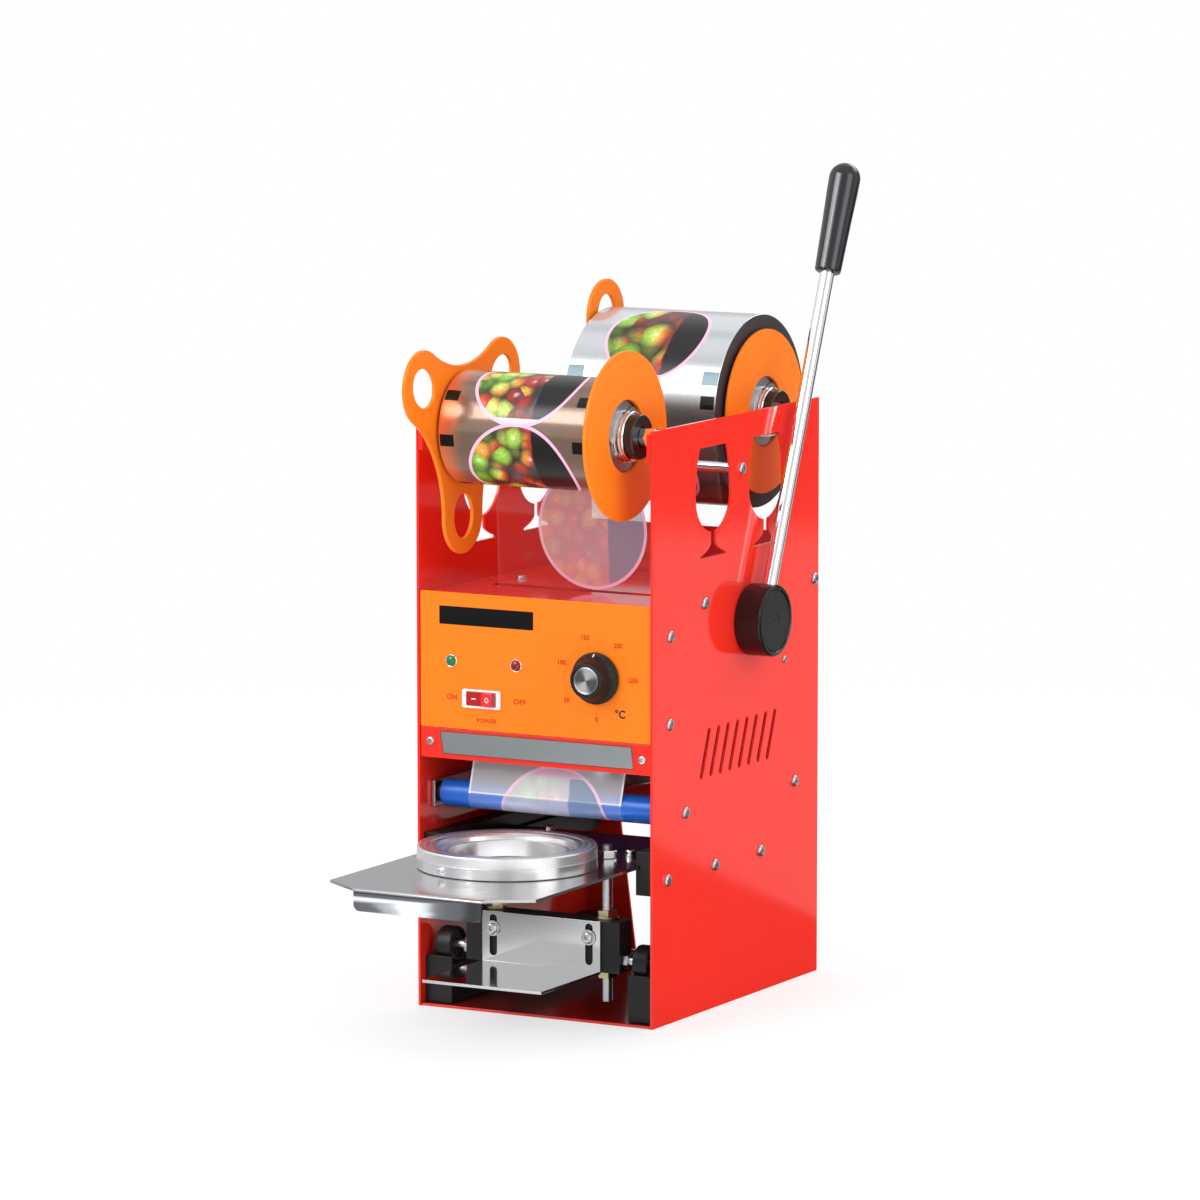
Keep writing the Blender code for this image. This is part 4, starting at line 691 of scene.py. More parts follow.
def piece(name, bm, body, paint, slot, *nodes, angle=35, level=True):
    """Makes the finished object from its form; nodes are the CAD nodes it stands for."""
    mesh = bpy.data.meshes.new(name)
    bm.to_mesh(mesh)
    bm.free()
    mesh.shade_smooth()
    mesh.set_sharp_from_angle(angle=math.radians(angle))
    item = bpy.data.objects.new(name, mesh)
    bpy.context.collection.objects.link(item)
    mesh.materials.append(FINISH[paint].material)
    if level:
        even = item.modifiers.new("even_shading", "WEIGHTED_NORMAL")
        even.keep_sharp = True
    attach(item, body)
    if nodes:
        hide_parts(*nodes)
    return item


def form_of(node, soft=0.35 * MM, segments=2):
    """A copy of a CAD node's mesh with its sharp edges rounded."""
    bm = bmesh.new()
    bm.from_mesh(NODES[node].data)
    bmesh.ops.remove_doubles(bm, verts=bm.verts, dist=2e-6)
    bmesh.ops.dissolve_limit(bm, angle_limit=math.radians(1), verts=bm.verts, edges=bm.edges)
    return soften(bm, soft, 40, segments)


def copied(name, node, soft, body, paint, slot, segments=2):
    """A CAD node's own shape as a finished piece, its edges rounded by soft millimetres."""
    piece(name, form_of(node, soft * MM, segments), body, paint, slot, node)


def cross_outline(reach, half):
    """A cross recess, with its inner corners."""
    return [(reach, -half), (reach, half), (half, half), (half, reach), (-half, reach), (-half, half),
            (-reach, half), (-reach, -half), (-half, -half), (-half, -reach), (half, -reach), (half, -half)]


def recessed_head(radius, height, recess, depth, crown=0.62, washer=0.0):
    """A domed screw head standing on local Z = 0, with a recess sunk in its crown."""
    flat = radius * crown
    bm = bmesh.new()
    rim = [(radius * 0.97, 0.0), (radius, height * 0.22)]
    rim += [(flat + (radius - flat) * math.cos(t), height * (0.22 + 0.78 * math.sin(t)))
            for t in (math.radians(22.5 * step) for step in range(1, 4))]
    points = [bm.verts.new((r, 0, z)) for r, z in rim + [(flat, height)]]
    edges = [bm.edges.new(pair) for pair in zip(points, points[1:])]
    bmesh.ops.spin(bm, geom=points + edges, cent=(0, 0, 0), axis=(0, 0, 1), angle=2 * math.pi, steps=32,
                   use_merge=True)
    bmesh.ops.remove_doubles(bm, verts=bm.verts, dist=1e-7)
    crown_edge = [e for e in bm.edges if e.is_boundary and min(v.co.z for v in e.verts) > height * 0.9]
    foot_edge = [e for e in bm.edges if e.is_boundary and max(v.co.z for v in e.verts) < height * 0.1]
    slot_edge = add_outline(bm, recess, height)
    bmesh.ops.triangle_fill(bm, use_beauty=True, use_dissolve=False, edges=crown_edge + slot_edge,
                            normal=(0, 0, 1))
    sunk = bmesh.ops.extrude_edge_only(bm, edges=slot_edge)
    low = [part for part in sunk["geom"] if isinstance(part, bmesh.types.BMVert)]
    bmesh.ops.translate(bm, verts=low, vec=(0, 0, -depth))
    floor = [part for part in sunk["geom"] if isinstance(part, bmesh.types.BMEdge) and part.is_boundary]
    bmesh.ops.contextual_create(bm, geom=floor)
    bmesh.ops.contextual_create(bm, geom=foot_edge)
    bmesh.ops.recalc_face_normals(bm, faces=bm.faces)
    if washer:
        return gathered(bm, tube(0, radius * 1.35, -washer, 0.05 * MM, 40, 0.12 * MM))
    return bm


def pan_screw(radius, height, washer=0.0):
    recess = cross_outline(radius * 0.42, radius * 0.11)
    return recessed_head(radius, height, recess, height * 0.6, washer=washer)


def socket_screw(radius, height, washer=0.0):
    return recessed_head(radius, height, hexagon(radius * 0.95), height * 0.6, 0.8, washer)


def hex_nut(across, thick):
    """A nut with its corners turned off, standing on local Z = 0."""
    nut = bmesh.new()
    bmesh.ops.contextual_create(nut, geom=add_outline(nut, hexagon(across)))
    raise_faces(nut, nut.faces[:], thick)
    bmesh.ops.recalc_face_normals(nut, faces=nut.faces)
    return soften(nut, across / math.sqrt(3) * 0.045, 40)


def threaded_form(radius, pitch, low, high):
    """A rod with a rolled thread."""
    root = radius - pitch * 0.3
    count = int((high - low) / pitch)
    step = (high - low) / count
    profile = [(0, low), (root, low)]
    for index in range(count):
        base = low + step * index
        profile += [(reach, base + step * share)
                    for reach, share in ((root, 0.15), (radius, 0.40), (radius, 0.60), (root, 0.85))]
    profile += [(root, high), (0, high + 0.3 * MM)]
    return spun_form(profile, 32)


# ---------------------------------------------------------------- sheet-metal housing
def glass_outline(centre_y):
    """A stemmed glass on a foot, cut through the side panels."""
    widest_z, widest, bowl_depth, shoulder = 0.371, 0.027, 0.026, 0.0538
    stem, foot, foot_z, foot_rise, rim_z = 0.0035, 0.0195, 0.327, 0.009, 0.406
    foot_top = foot_z + 1.5 * MM
    half = [(foot, foot_z), (foot, foot_top)]
    for step in range(1, 9):
        share = step / 8
        half.append((stem + (foot - stem) * (1 - share) ** 2, foot_top + foot_rise * share))
    start = math.asin(stem / widest)
    for step in range(20):
        angle = start + (math.pi / 2 - start) * step / 19
        half.append((widest * math.sin(angle), widest_z - bowl_depth * math.cos(angle)))
    for step in range(1, 11):
        rise = (rim_z - widest_z) * step / 10
        half.append((widest * math.sqrt(1 - (rise / shoulder) ** 2), widest_z + rise))
    right = [(centre_y + width, z) for width, z in half]
    left = [(centre_y - width, z) for width, z in reversed(half)]
    return right + left


def vent_slot(index):
    """A slanted slot with round ends, leaning to the rear as it rises."""
    pitch, half, low, high, lean = 0.0146, 0.00225, 0.169, 0.2045, 0.0135
    foot = -0.056 + pitch * index
    tilt = math.degrees(math.atan2(high - low, lean)) - 90
    ends = [(foot + lean * share, low + (high - low) * share) for share in (0.06, 0.94)]
    return arc(ends[1], half, tilt, tilt + 180, 6) + arc(ends[0], half, tilt + 180, tilt + 360, 6)


def saddle_form(axis, side):
    """The open-topped block inside a panel that a roll's shaft drops into."""
    y, z = axis.y, axis.z
    half, drop, rise, notch = 0.014, 0.017, 0.004, 0.0078
    outline = [(y - notch, z + rise), (y - half, z + rise), (y - half, z - drop), (y + half, z - drop),
               (y + half, z + rise), (y + notch, z + rise)] + arc((y, z), notch, 0, -180, 24)
    ends = sorted((side * (OUTER_X - SHEET - 0.0032), side * (OUTER_X - SHEET / 2)))
    return placed(sheet_form(outline, [], *ends, 0.4 * MM), "X")


def side_panels():
    outline = rectangle(((FRONT_Y + BACK_Y) / 2, HOUSING_HEIGHT / 2), BACK_Y - FRONT_Y, HOUSING_HEIGHT)
    holes = [glass_outline(y) for y in GLASS_CENTRES] + [vent_slot(index) for index in range(8)]
    holes.append(circle((SHAFT_Y, SHAFT_Z), 14 * MM))
    for name, side in (("left_side_panel", -1), ("right_side_panel", 1)):
        ends = sorted((side * (OUTER_X - SHEET), side * OUTER_X))
        panel = placed(sheet_form(outline, holes, *ends, 0.35 * MM), "X")
        whole = gathered(panel, saddle_form(TAKEUP, side), saddle_form(SUPPLY, side))
        piece(f"{name}_sheet", whole, "housing", "red", "red_paint", name)


def folded_sheets():
    # Base plate with painted shade on its floor and plain red at its front edge.
    copied("base_plate_sheet", "base_plate", 0.35, "housing", "red_floor_painted_shade", "red_paint")
    for node in ("rear_panel", "top_deck"):
        copied(f"{node}_sheet", node, 0.35, "housing", "red", "red_paint")
    copied("film_guard_sheet", "film_guard", 0.45, "housing", "red", "red_paint", 3)
    low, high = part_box("control_panel")
    front, back = PANEL_FRONT, PANEL_FRONT + SHEET
    holes = [circle((z, x), LAMP_HOLE, 32) for x, z in (GREEN_AT, RED_AT, KNOB_AT)]
    holes.append(rectangle((SWITCH_AT[1], SWITCH_AT[0]), SWITCH_HOLE[1], SWITCH_HOLE[0], 0.4 * MM))
    face = rectangle(((PANEL_BOTTOM + high.z) / 2, 0), high.z - PANEL_BOTTOM, high.x - low.x)
    forms = [placed(sheet_form(face, holes, front, back, 0.4 * MM), "Y")]
    for side in (-1, 1):
        ends = sorted((side * high.x, side * (high.x - SHEET)))
        forms.append(block_form((ends[0], back - 0.001, low.z), (ends[1], back + 0.029, DECK_TOP - 0.0024)))
        ends = sorted((side * (high.x - 0.001), side * (high.x - 0.014)))
        forms.append(block_form((ends[0], back + 0.0003, low.z),
                                (ends[1], back + 0.0023, PANEL_BOTTOM + 0.006)))
    piece("control_panel_sheet", gathered(*forms), "housing", "red", "red_paint", "control_panel")


def facing_front(outline, low, high, soft=0.0):
    """A plate lying on the front, from its outline of (x, z) points; low and high are heights in -Y."""
    return placed(sheet_form([(z, x) for x, z in outline], [], -high, -low, soft), "Y")


def legend(name, words, size, centre, front, spacing=1.0):
    """Printed letters or figures standing just proud of the front, centred on (x, z)."""
    curve = bpy.data.curves.new(name, "FONT")
    curve.body = words
    curve.size = size
    curve.space_character = spacing
    curve.align_x, curve.align_y = "CENTER", "CENTER"
    curve.offset = size * 0.028
    curve.extrude = PRINT / 2
    text = bpy.data.objects.new(name, curve)
    bpy.context.collection.objects.link(text)
    bpy.context.view_layer.update()
    mesh = bpy.data.meshes.new_from_object(text.evaluated_get(bpy.context.evaluated_depsgraph_get()))
    bpy.data.objects.remove(text)
    bm = bmesh.new()
    bm.from_mesh(mesh)
    bpy.data.meshes.remove(mesh)
    place = Matrix.Translation((centre[0], front - PRINT / 2, centre[1]))
    return moved_by(bm, place @ rotation(90, "X"))


def round_knob(radius, turn):
    """A place on the panel round the knob, clockwise from the top."""
    return (KNOB_AT[0] + radius * math.sin(turn), KNOB_AT[1] + radius * math.cos(turn))


def control_face():
    """The orange overlay with its bare badge, printed words and dial scale."""
    front = PANEL_FRONT - OVERLAY_THICK
    outline = rectangle((0, (PANEL_BOTTOM + PANEL_TOP) / 2), 0.1860, PANEL_TOP - PANEL_BOTTOM, 1.0 * MM)
    holes = [circle(spot, LAMP_HOLE, 32) for spot in (GREEN_AT, RED_AT, KNOB_AT)]
    holes.append(rectangle(SWITCH_AT, *SWITCH_HOLE, 0.4 * MM))
    swapped = [[(z, x) for x, z in shape] for shape in (outline, *holes)]
    overlay = sheet_form(swapped[0], swapped[1:], front, PANEL_FRONT - 0.02 * MM, 0.05 * MM)
    piece("orange_overlay", placed(overlay, "Y"), "housing", "overlay", "orange_plastic")
    badge = rectangle((-0.03915, 0.2850), 0.0763, 0.0130, 0.3 * MM)
    badge = facing_front(badge, -front - 0.02 * MM, -front + 0.25 * MM, 0.08 * MM)
    piece("bare_badge", badge, "housing", "badge", "black_plastic")
    words = [("ON", 0.0052, (-0.0672, 0.2262)), ("OFF", 0.0052, (-0.0120, 0.2262)),
             ("POWER", 0.0044, (-0.0390, 0.2107))]
    forms = [legend(word, word, size, place, front, 1.1) for word, size, place in words]
    scale_radius = 0.0262
    for number, angle in ((0, 180), (50, 234), (100, 288), (150, 342), (200, 36), (250, 90)):
        spot = round_knob(scale_radius + 0.0034, math.radians(angle))
        forms.append(legend(f"scale_{number}", str(number), 0.0048, spot, front))
    for step in range(46):
        turn = math.radians(180 + step * 6)
        inner = scale_radius - (0.0016 if step % 9 == 0 else 0.0008)
        across = Vector((math.cos(turn), -math.sin(turn))) * 0.00016
        corners = ((inner, -1), (inner, 1), (scale_radius, 1), (scale_radius, -1))
        mark = [Vector(round_knob(radius, turn)) + across * side for radius, side in corners]
        forms.append(facing_front(mark, -front, -front + PRINT))
    piece("panel_legends", gathered(*forms), "housing", "legend", "orange_plastic")
    degrees = legend("degrees", "°C", 0.0078, (0.0690, 0.2232), front)
    piece("degrees_sign", degrees, "housing", "black_ink", "black_plastic")


def notice_plate():
    """The bare grey plate on the film guard, inside its thin dark edging."""
    back = PANEL_FRONT
    corners = [(-0.0753, 0.1843), (0.0803, 0.1843), (0.0785, 0.2015), (-0.0776, 0.2015)]
    edge = facing_front(corners, -back - 0.02 * MM, -back + 0.18 * MM, 0.05 * MM)
    piece("notice_edging", edge, "housing", "notice_edge", "red_paint")
    centre, edging = (0.0015, 0.1929), 1.1 * MM
    inner = [(x - math.copysign(edging, x - centre[0]), z - math.copysign(edging, z - centre[1]))
             for x, z in corners]
    plate = facing_front(inner, -back + 0.10 * MM, -back + 0.30 * MM, 0.06 * MM)
    piece("bare_notice_plate", plate, "housing", "notice", "steel")


# ---------------------------------------------------------------- controls
def indicator(name, spot, lens):
    """A chrome bezel round a coloured dome."""
    centre = (spot[0], PANEL_FRONT - OVERLAY_THICK, spot[1])
    bezel = turned([(3.9, 0.2), (3.9, 1.0), (4.2, 1.2), (4.6, 0.8), (4.85, 0.0), (4.4, 0.0), (4.4, -6),
                    (3.9, -6)], 64, 0.1 * MM)
    piece(f"{name}_bezel", placed(bezel, "-Y", centre), "housing", "chrome", "chrome")
    angles = [math.radians(15 * step) for step in range(1, 7)]
    dome = [(0, 2.9)] + [(3.8 * math.sin(t), 0.9 + 2.0 * math.cos(t)) for t in angles]
    dome += [(3.8, -12), (0, -12)]
    piece(f"{name}_lens", placed(turned(dome, 48), "-Y", centre), "housing", lens, lens, name)


def rocker_face(x):
    """How far the rocker's face stands, in Y, at a place across it."""
    face, bend = -0.0030, math.radians(10)
    pivot = PANEL_FRONT + 0.9 * MM
    if x < 0:
        return pivot + face * math.cos(bend)
    return pivot + face * math.cos(bend) - (x - face * math.sin(bend)) * math.tan(2 * bend)


def rocker_switch():
    x, z = SWITCH_AT
    front = PANEL_FRONT - OVERLAY_THICK
    outer = rectangle((z, x), 13.4 * MM, 31 * MM, 1.6 * MM)
    inner = rectangle((z, x), 10.4 * MM, 24.2 * MM, 0.5 * MM)
    bezel = placed(sheet_form(outer, [inner], front - 1.5 * MM, front, 0.35 * MM, 3), "Y")
    body_outer = rectangle((z, x), 10.9 * MM, 28.3 * MM, 0.4 * MM)
    body = placed(sheet_form(body_outer, [inner], front, PANEL_FRONT + 19 * MM, 0.2 * MM), "Y")
    back = block_form((x - 12.1 * MM, PANEL_FRONT + 9 * MM, z - 5.2 * MM),
                      (x + 12.1 * MM, PANEL_FRONT + 19 * MM, z + 5.2 * MM), 0.2 * MM)
    piece("switch_bezel", gathered(bezel, body, back), "housing", "white", "white_plastic", "switch_housing")
    copied("rocker_key", "switch_rocker", 0.45, "rocker", "rocker", "red_lens", 3)
    dash = facing_front(rectangle((x - 5.9 * MM, z), 3.6 * MM, 0.8 * MM, 0.2 * MM), 0, 0.1 * MM)
    loop = [[(b, a) for a, b in circle((x + 6.0 * MM, z), radius, 32)] for radius in (1.9 * MM, 1.25 * MM)]
    marks = gathered(dash, placed(sheet_form(loop[0], [loop[1]], -0.1 * MM, 0, 0), "Y"))
    for corner in marks.verts:
        corner.co.y += rocker_face(corner.co.x - x)
    piece("rocker_marks", marks, "rocker", "white", "white_plastic")


def dial():
    x, z = KNOB_AT
    front = PANEL_FRONT - 0.9 * MM
    skirt = [(0, 0), (17.9, 0), (18.4, 0.5), (18.4, 2.2), (17.7, 2.9), (16.6, 3.5), (15.4, 5.2), (14.6, 7.6),
             (14.0, 10.4), (13.5, 13.0), (12.9, 14.6), (12.1, 15.4), (10.6, 15.7), (10.2, 15.2), (10.1, 14.5),
             (0, 14.5)]
    form = turned(skirt)
    for corner in form.verts:
        radius, height = math.hypot(corner.co.x, corner.co.y), corner.co.z
        if radius > 10.8 * MM and 3.2 * MM < height < 15.3 * MM:
            turn = math.atan2(corner.co.y, corner.co.x)
            share = min(1.0, (height - 3.2 * MM) / (3 * MM)) * min(1.0, (15.3 * MM - height) / (1.5 * MM))
            shrink = 1 - 0.035 * share * (0.5 + 0.5 * math.cos(24 * turn))
            corner.co.x *= shrink
            corner.co.y *= shrink
    piece("dial_skirt", placed(form, "-Y", (x, front, z)), "dial", "black", "black_plastic", "dial_knob")
    cap = [(0, 14.4), (9.9, 14.4), (9.9, 15.5), (9.5, 15.85), (8.8, 15.9), (8.6, 15.6), (0, 15.5)]
    form = turned(cap, 96, 0.08 * MM)
    piece("dial_cap", placed(form, "-Y", (x, front, z)), "dial", "knob_cap", "aluminium")
    pointer = rectangle((x, z + 16.75 * MM), 0.9 * MM, 2.3 * MM)
    line = facing_front(pointer, -front + 2.0 * MM, -front + 2.9 * MM, 0.1 * MM)
    for corner in line.verts:
        stand = 2.75 * MM if corner.co.z - z > 16.5 * MM else 4.95 * MM
        corner.co.y = front - stand + (corner.co.y - front + 2.9 * MM) * 0.5
    piece("dial_pointer", line, "dial", "white", "white_plastic")
    copied("thermostat_case", "thermostat_body", 1.0, "housing", "black", "black_plastic", 3)


def power_socket():
    copied("inlet_socket", "power_inlet", 0.3, "housing", "black", "black_plastic")
    x, _, z = middle("power_inlet")
    pins = [block_form((x + across - 1.15 * MM, BACK_Y - 16.5 * MM, z + up - 2.2 * MM),
                       (x + across + 1.15 * MM, BACK_Y - 0.8 * MM, z + up + 2.2 * MM), 0.4 * MM)
            for across, up in ((-7 * MM, -2 * MM), (7 * MM, -2 * MM), (0, 2 * MM))]
    piece("inlet_pins", gathered(*pins), "housing", "steel", "steel")


# ---------------------------------------------------------------- fixings
def screws(radius, height, axis, spots, washer=0.0):
    """A group of pan-head screws, each with its place and its turn."""
    return gathered(*[placed(pan_screw(radius * MM, height * MM, washer * MM), axis, spot, turn)
                      for *spot, turn in spots])


def panel_screws():
    sides = [(-0.103, 0.2775), (-0.051, 0.295), (-0.104, 0.215), (0.121, 0.2925), (-0.080, 0.1485),
             (0.090, 0.147), (-0.035, 0.104), (0.036, 0.1035), (-0.107, 0.104), (TIE_Y, TIE_Z)]
    for name, side, axis in (("left", -1, "-X"), ("right", 1, "X")):
        x = side * (OUTER_X - 0.05 * MM)
        spots = [(x, y, z, math.radians(37 * index + 11)) for index, (y, z) in enumerate(sides)]
        heads = gathered(screws(4.3, 2.3, axis, spots),
                         screws(2.6, 1.5, axis, [(side * OUTER_X, 0.073, 0.239, 0.4)]))
        piece(f"{name}_panel_screws", heads, "housing", "steel", "steel")
    front, deck, back = PANEL_FRONT + 0.05 * MM, DECK_TOP + 0.4 * MM, BACK_Y - 0.3 * MM
    groups = [("guard", screws(3.1, 1.9, "-Y", [(-0.085, front, 0.1935, 0.5), (0.0867, front, 0.1923, 1.1)])),
              ("deck", screws(3.6, 2.0, "Z", [(-0.065, -0.031, deck, 0.3), (0.065, -0.031, deck, 0.9),
                                              (-0.065, 0.085, deck, 1.4), (0.065, 0.085, deck, 0.2)], 0.4)),
              ("rear", screws(3.5, 1.9, "Y", [(-0.085, back, 0.312, 0.3), (0.085, back, 0.312, 0.8),
                                              (-0.085, back, 0.16, 1.2), (0.085, back, 0.16, 0.1),
                                              (-0.085, back, 0.02, 0.6), (0.085, back, 0.02, 1.5)]))]
    for name, heads in groups:
        piece(f"{name}_screws", heads, "housing", "steel", "steel")


def housing_rods():
    for node, paint in (("tie_rod", "chrome"), ("film_guide_rod", "steel")):
        low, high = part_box(node)
        form = placed(tube(0, half_height(node), low.x, high.x, 48, 0.3 * MM), "X", on_axis(node))
        piece(f"{node}_bar", form, "housing", paint, "chrome", node)


# ---------------------------------------------------------------- rails, tray and cup carrier
def rails():
    for side in ("left", "right"):
        for name, node, soft, paint, slot in (("tray_rail", "upper_rail", 0.5, "black", "black_plastic"),
                                              ("wheel_track", "lower_rail", 0.5, "black", "black_plastic"),
                                              ("roller_bar", "roller_bracket", 0.4, "bridge", "steel")):
            copied(f"{side}_{name}", f"{side}_{node}", soft, "housing", paint, slot)


def bent_sheet(node, bend_y, bend_z, width, soft):
    """A folded CAD sheet whose outer corner along the line (y, z) is rounded as a bend."""
    form = form_of(node, 0)
    chosen = [e for e in form.edges
              if all(abs(v.co.y - bend_y) < 0.05 * MM and abs(v.co.z - bend_z) < 0.05 * MM for v in e.verts)]
    bmesh.ops.bevel(form, geom=chosen, offset=width, offset_type="OFFSET", affect="EDGES", segments=6,
                    profile=0.5, material=-1, clamp_overlap=True)
    return soften(form, soft, 40)


def tray_sheet():
    low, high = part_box("tray_plate")
    form = bent_sheet("tray_plate", low.y, high.z, 2.2 * MM, 0.35 * MM)
    piece("tray_sheet", form, "tray", "mirror_tray", "mirror_steel", "tray_plate")
    heads = [placed(socket_screw(4.2 * MM, 3.4 * MM, 0.8 * MM), "Z", (x, y, TRAY_TOP + 0.8 * MM), turn)
             for x, y, turn in ((0.055, -0.087, 0.2), (-0.0455, -0.025, 0.9), (0.0455, -0.025, 0.5))]
    piece("tray_bolts", gathered(*heads), "tray", "chrome", "chrome")


def cup_ring():
    """The turned ring in two steps, with a groove round it and a seat for the cup's rim."""
    base, top = RING_LOW.z / MM, RING_HIGH.z / MM
    outer, seat, bore = (RING_HIGH.x - RING_LOW.x) / 2 / MM, 48.5, 41
    split = base + 8.2
    profile = [(bore, base), (outer - 0.6, base), (outer, base + 0.6), (outer, split - 0.35),
               (outer - 0.9, split), (outer - 0.9, split + 0.25), (outer - 0.25, split + 0.6),
               (outer - 0.25, top - 1.0), (outer - 1.0, top), (seat + 7.5, top), (seat + 6.9, top - 0.5),
               (seat + 1.6, top - 0.5), (seat, top - 2.0), (seat, top - 4.0), (bore + 0.6, top - 4.0),
               (bore, top - 4.6)]
    form = placed(turned(profile, 128), "Z", (0, RING_Y, 0))
    piece("cup_ring_turned", form, "tray", "ring", "aluminium", "cup_ring")
    screw = placed(socket_screw(2.6 * MM, 2.2 * MM), "-Y", (0, 0, 0))
    stand = Matrix.Translation((0, RING_Y, (base + 4.2) * MM)) @ rotation(-17, "Z")
    moved_by(screw, stand @ Matrix.Translation((0, (0.3 - outer) * MM, 0)))
    piece("ring_set_screw", screw, "tray", "chrome", "chrome")


def wheel_form(side):
    low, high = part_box("right_wheel")
    r, w = half_height("right_wheel") / MM, (high.x - low.x) / MM
    face = [(4.3, 0.8), (6.4, 0.8), (6.6, 1.3), (9.6, 1.3), (10.0, 0.3), (r - 1.2, 0), (r - 0.3, 0.4),
            (r, 1.4)]
    form = turned(face + [(reach, w - height) for reach, height in reversed(face)], 64)
    return placed(form, "X", (low.x if side > 0 else -high.x, *on_axis("right_wheel")[1:]))


def carrier():
    """The bar hung under the tray on threaded rods, with its wheels, pins, nuts and clamp screws."""
    low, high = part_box("cross_bar")
    rods = [middle(f"{side}_hanger_rod") for side in ("left", "right")]
    half = 62.5 * MM
    outline = rectangle((0, (low.y + high.y) / 2), 2 * half, high.y - low.y)
    form = sheet_form(outline, [circle(spot, 4.4 * MM, 32) for spot in [(rod.x, rod.y) for rod in rods]],
                      low.z, high.z, 0.7 * MM, 3)
    piece("hung_bar", form, "tray", "black", "black_plastic", "cross_bar")
    _, wheel_y, wheel_z = on_axis("right_wheel")
    for name, side, axis in (("left", -1, "-X"), ("right", 1, "X")):
        start, end = half - 2 * MM, high.x
        shank = [(0, start), (3.9 * MM, start), (3.9 * MM, end - 0.5 * MM), (3.4 * MM, end), (0, end)]
        pin = placed(spun_form(shank, 40), axis, (0, wheel_y, wheel_z))
        nut = placed(hex_nut(11 * MM, 4.2 * MM), axis, (side * (half + 0.3 * MM), wheel_y, wheel_z), 0.3)
        piece(f"{name}_wheel_pin", gathered(pin, nut), "tray", "steel", "steel")
        wheel = f"{name}_wheel"
        piece(f"{name}_tread_wheel", wheel_form(side), wheel, "black", "black_plastic", wheel)
    for rod, side, turn in zip(rods, ("left", "right"), (0.2, 0.7)):
        hanger(side, rod, turn, low.z, high.z)
        clamp_screw(side, turn)


def hanger(side, rod, turn, bar_bottom, bar_top):
    """One threaded rod, with a pair of nuts on the tray and a pair and a washer on the bar."""
    thick, gap = 5.5 * MM, 0.3 * MM

    def nuts(under, over, twist):
        return [placed(hex_nut(13 * MM, thick), "Z", (rod.x, rod.y, spot), twist)
                for spot in (over + gap, under - gap - thick)]

    base, peak = (corner.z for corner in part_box(f"{side}_hanger_rod"))
    form = placed(threaded_form(4 * MM, 1.25 * MM, base, peak - 0.4 * MM), "Z", (rod.x, rod.y, 0))
    piece(f"{side}_threaded_rod", form, "tray", "steel", "steel", f"{side}_hanger_rod")
    upper = gathered(*nuts(TRAY_TOP - SHEET, TRAY_TOP, turn))
    piece(f"{side}_tray_nuts", upper, "tray", "chrome", "chrome")
    washer = tube(4.2 * MM, 8.2 * MM, bar_top, bar_top + 1.1 * MM, 48, 0.2 * MM)
    lower = gathered(*nuts(bar_bottom, bar_top, turn + 0.4), placed(washer, "Z", (rod.x, rod.y, 0)))
    piece(f"{side}_bar_nuts", lower, "tray", "zinc", "steel")


def clamp_screw(side, turn):
    """The screw and washer that hold the cup support at its height, through its slot."""
    node = f"{side}_slot_screw"
    head = recessed_head(4.4 * MM, 3.0 * MM, cross_outline(1.9 * MM, 0.5 * MM), 1.8 * MM)
    washer = tube(2.6 * MM, 5.6 * MM, -1.0 * MM, 0, 48, 0.2 * MM)
    shank = tube(0, 2.3 * MM, -13 * MM, 0, 32)
    spot = (middle(node).x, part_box(node)[0].y + 3.0 * MM, middle(node).z)
    form = placed(gathered(head, washer, shank), "-Y", spot, turn)
    piece(f"{side}_clamp_screw", form, "tray", "steel", "steel", node)


def support_plate():
    low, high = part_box("cup_support")
    form = bent_sheet("cup_support", high.y, low.z, 2.4 * MM, 0.3 * MM)
    piece("support_sheet", form, "cup_support", "mirror_support", "mirror_steel", "cup_support")


# ---------------------------------------------------------------- film rolls and rollers
def star_outline(first_angle):
    """Three round lobes joined by hollow sides; the hollows are arcs tangent to the lobes."""
    reach, lobe_radius, waist = LOBE_REACH, 0.027, 0.044
    step = lobe_radius - waist
    hollow_centre = (reach ** 2 - step ** 2) / (reach + 2 * step)
    hollow = hollow_centre - waist
    lean = math.degrees(math.asin(hollow_centre * math.sin(math.radians(60)) / (lobe_radius + hollow)))
    if hollow_centre / 2 < reach:
        lean = 180 - lean
    spread = math.degrees(math.asin(reach * math.sin(math.radians(60)) / (lobe_radius + hollow)))
    outline = []
    for index in range(3):
        heading = math.radians(first_angle + 120 * index)
        lobe = (reach * math.cos(heading), reach * math.sin(heading))
        turn = math.degrees(heading)
        outline += arc(lobe, lobe_radius, turn - lean, turn + lean, 40)
        across = heading + math.radians(60)
        bend = (hollow_centre * math.cos(across), hollow_centre * math.sin(across))
        outline += arc(bend, hollow, turn + 240 + spread, turn + 240 - spread, 24)[1:-1]
    return outline


def star(prefix, centre, first_angle):
    low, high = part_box(f"{prefix}_star")
    y, z = centre.y, centre.z
    outline = [(y + u, z + v) for u, v in star_outline(first_angle)]
    holes = [circle((y, z), 7.9 * MM, 40)]
    for index in range(3):
        heading = math.radians(first_angle + 120 * index)
        along = Vector((math.cos(heading), math.sin(heading)))
        across = Vector((-along.y, along.x))
        hole = []
        for step in range(48):
            turn = 2 * math.pi * step / 48
            spot = along * (LOBE_REACH + 0.016 * math.cos(turn)) + across * (0.0135 * math.sin(turn))
            hole.append((y + spot.x, z + spot.y))
        holes.append(hole)
    form = placed(sheet_form(outline, holes, low.x, high.x, 0.7 * MM, 3), "X")
    piece(f"{prefix}_star_flange", form, f"{prefix}_roll", "orange", "orange_plastic", f"{prefix}_star")


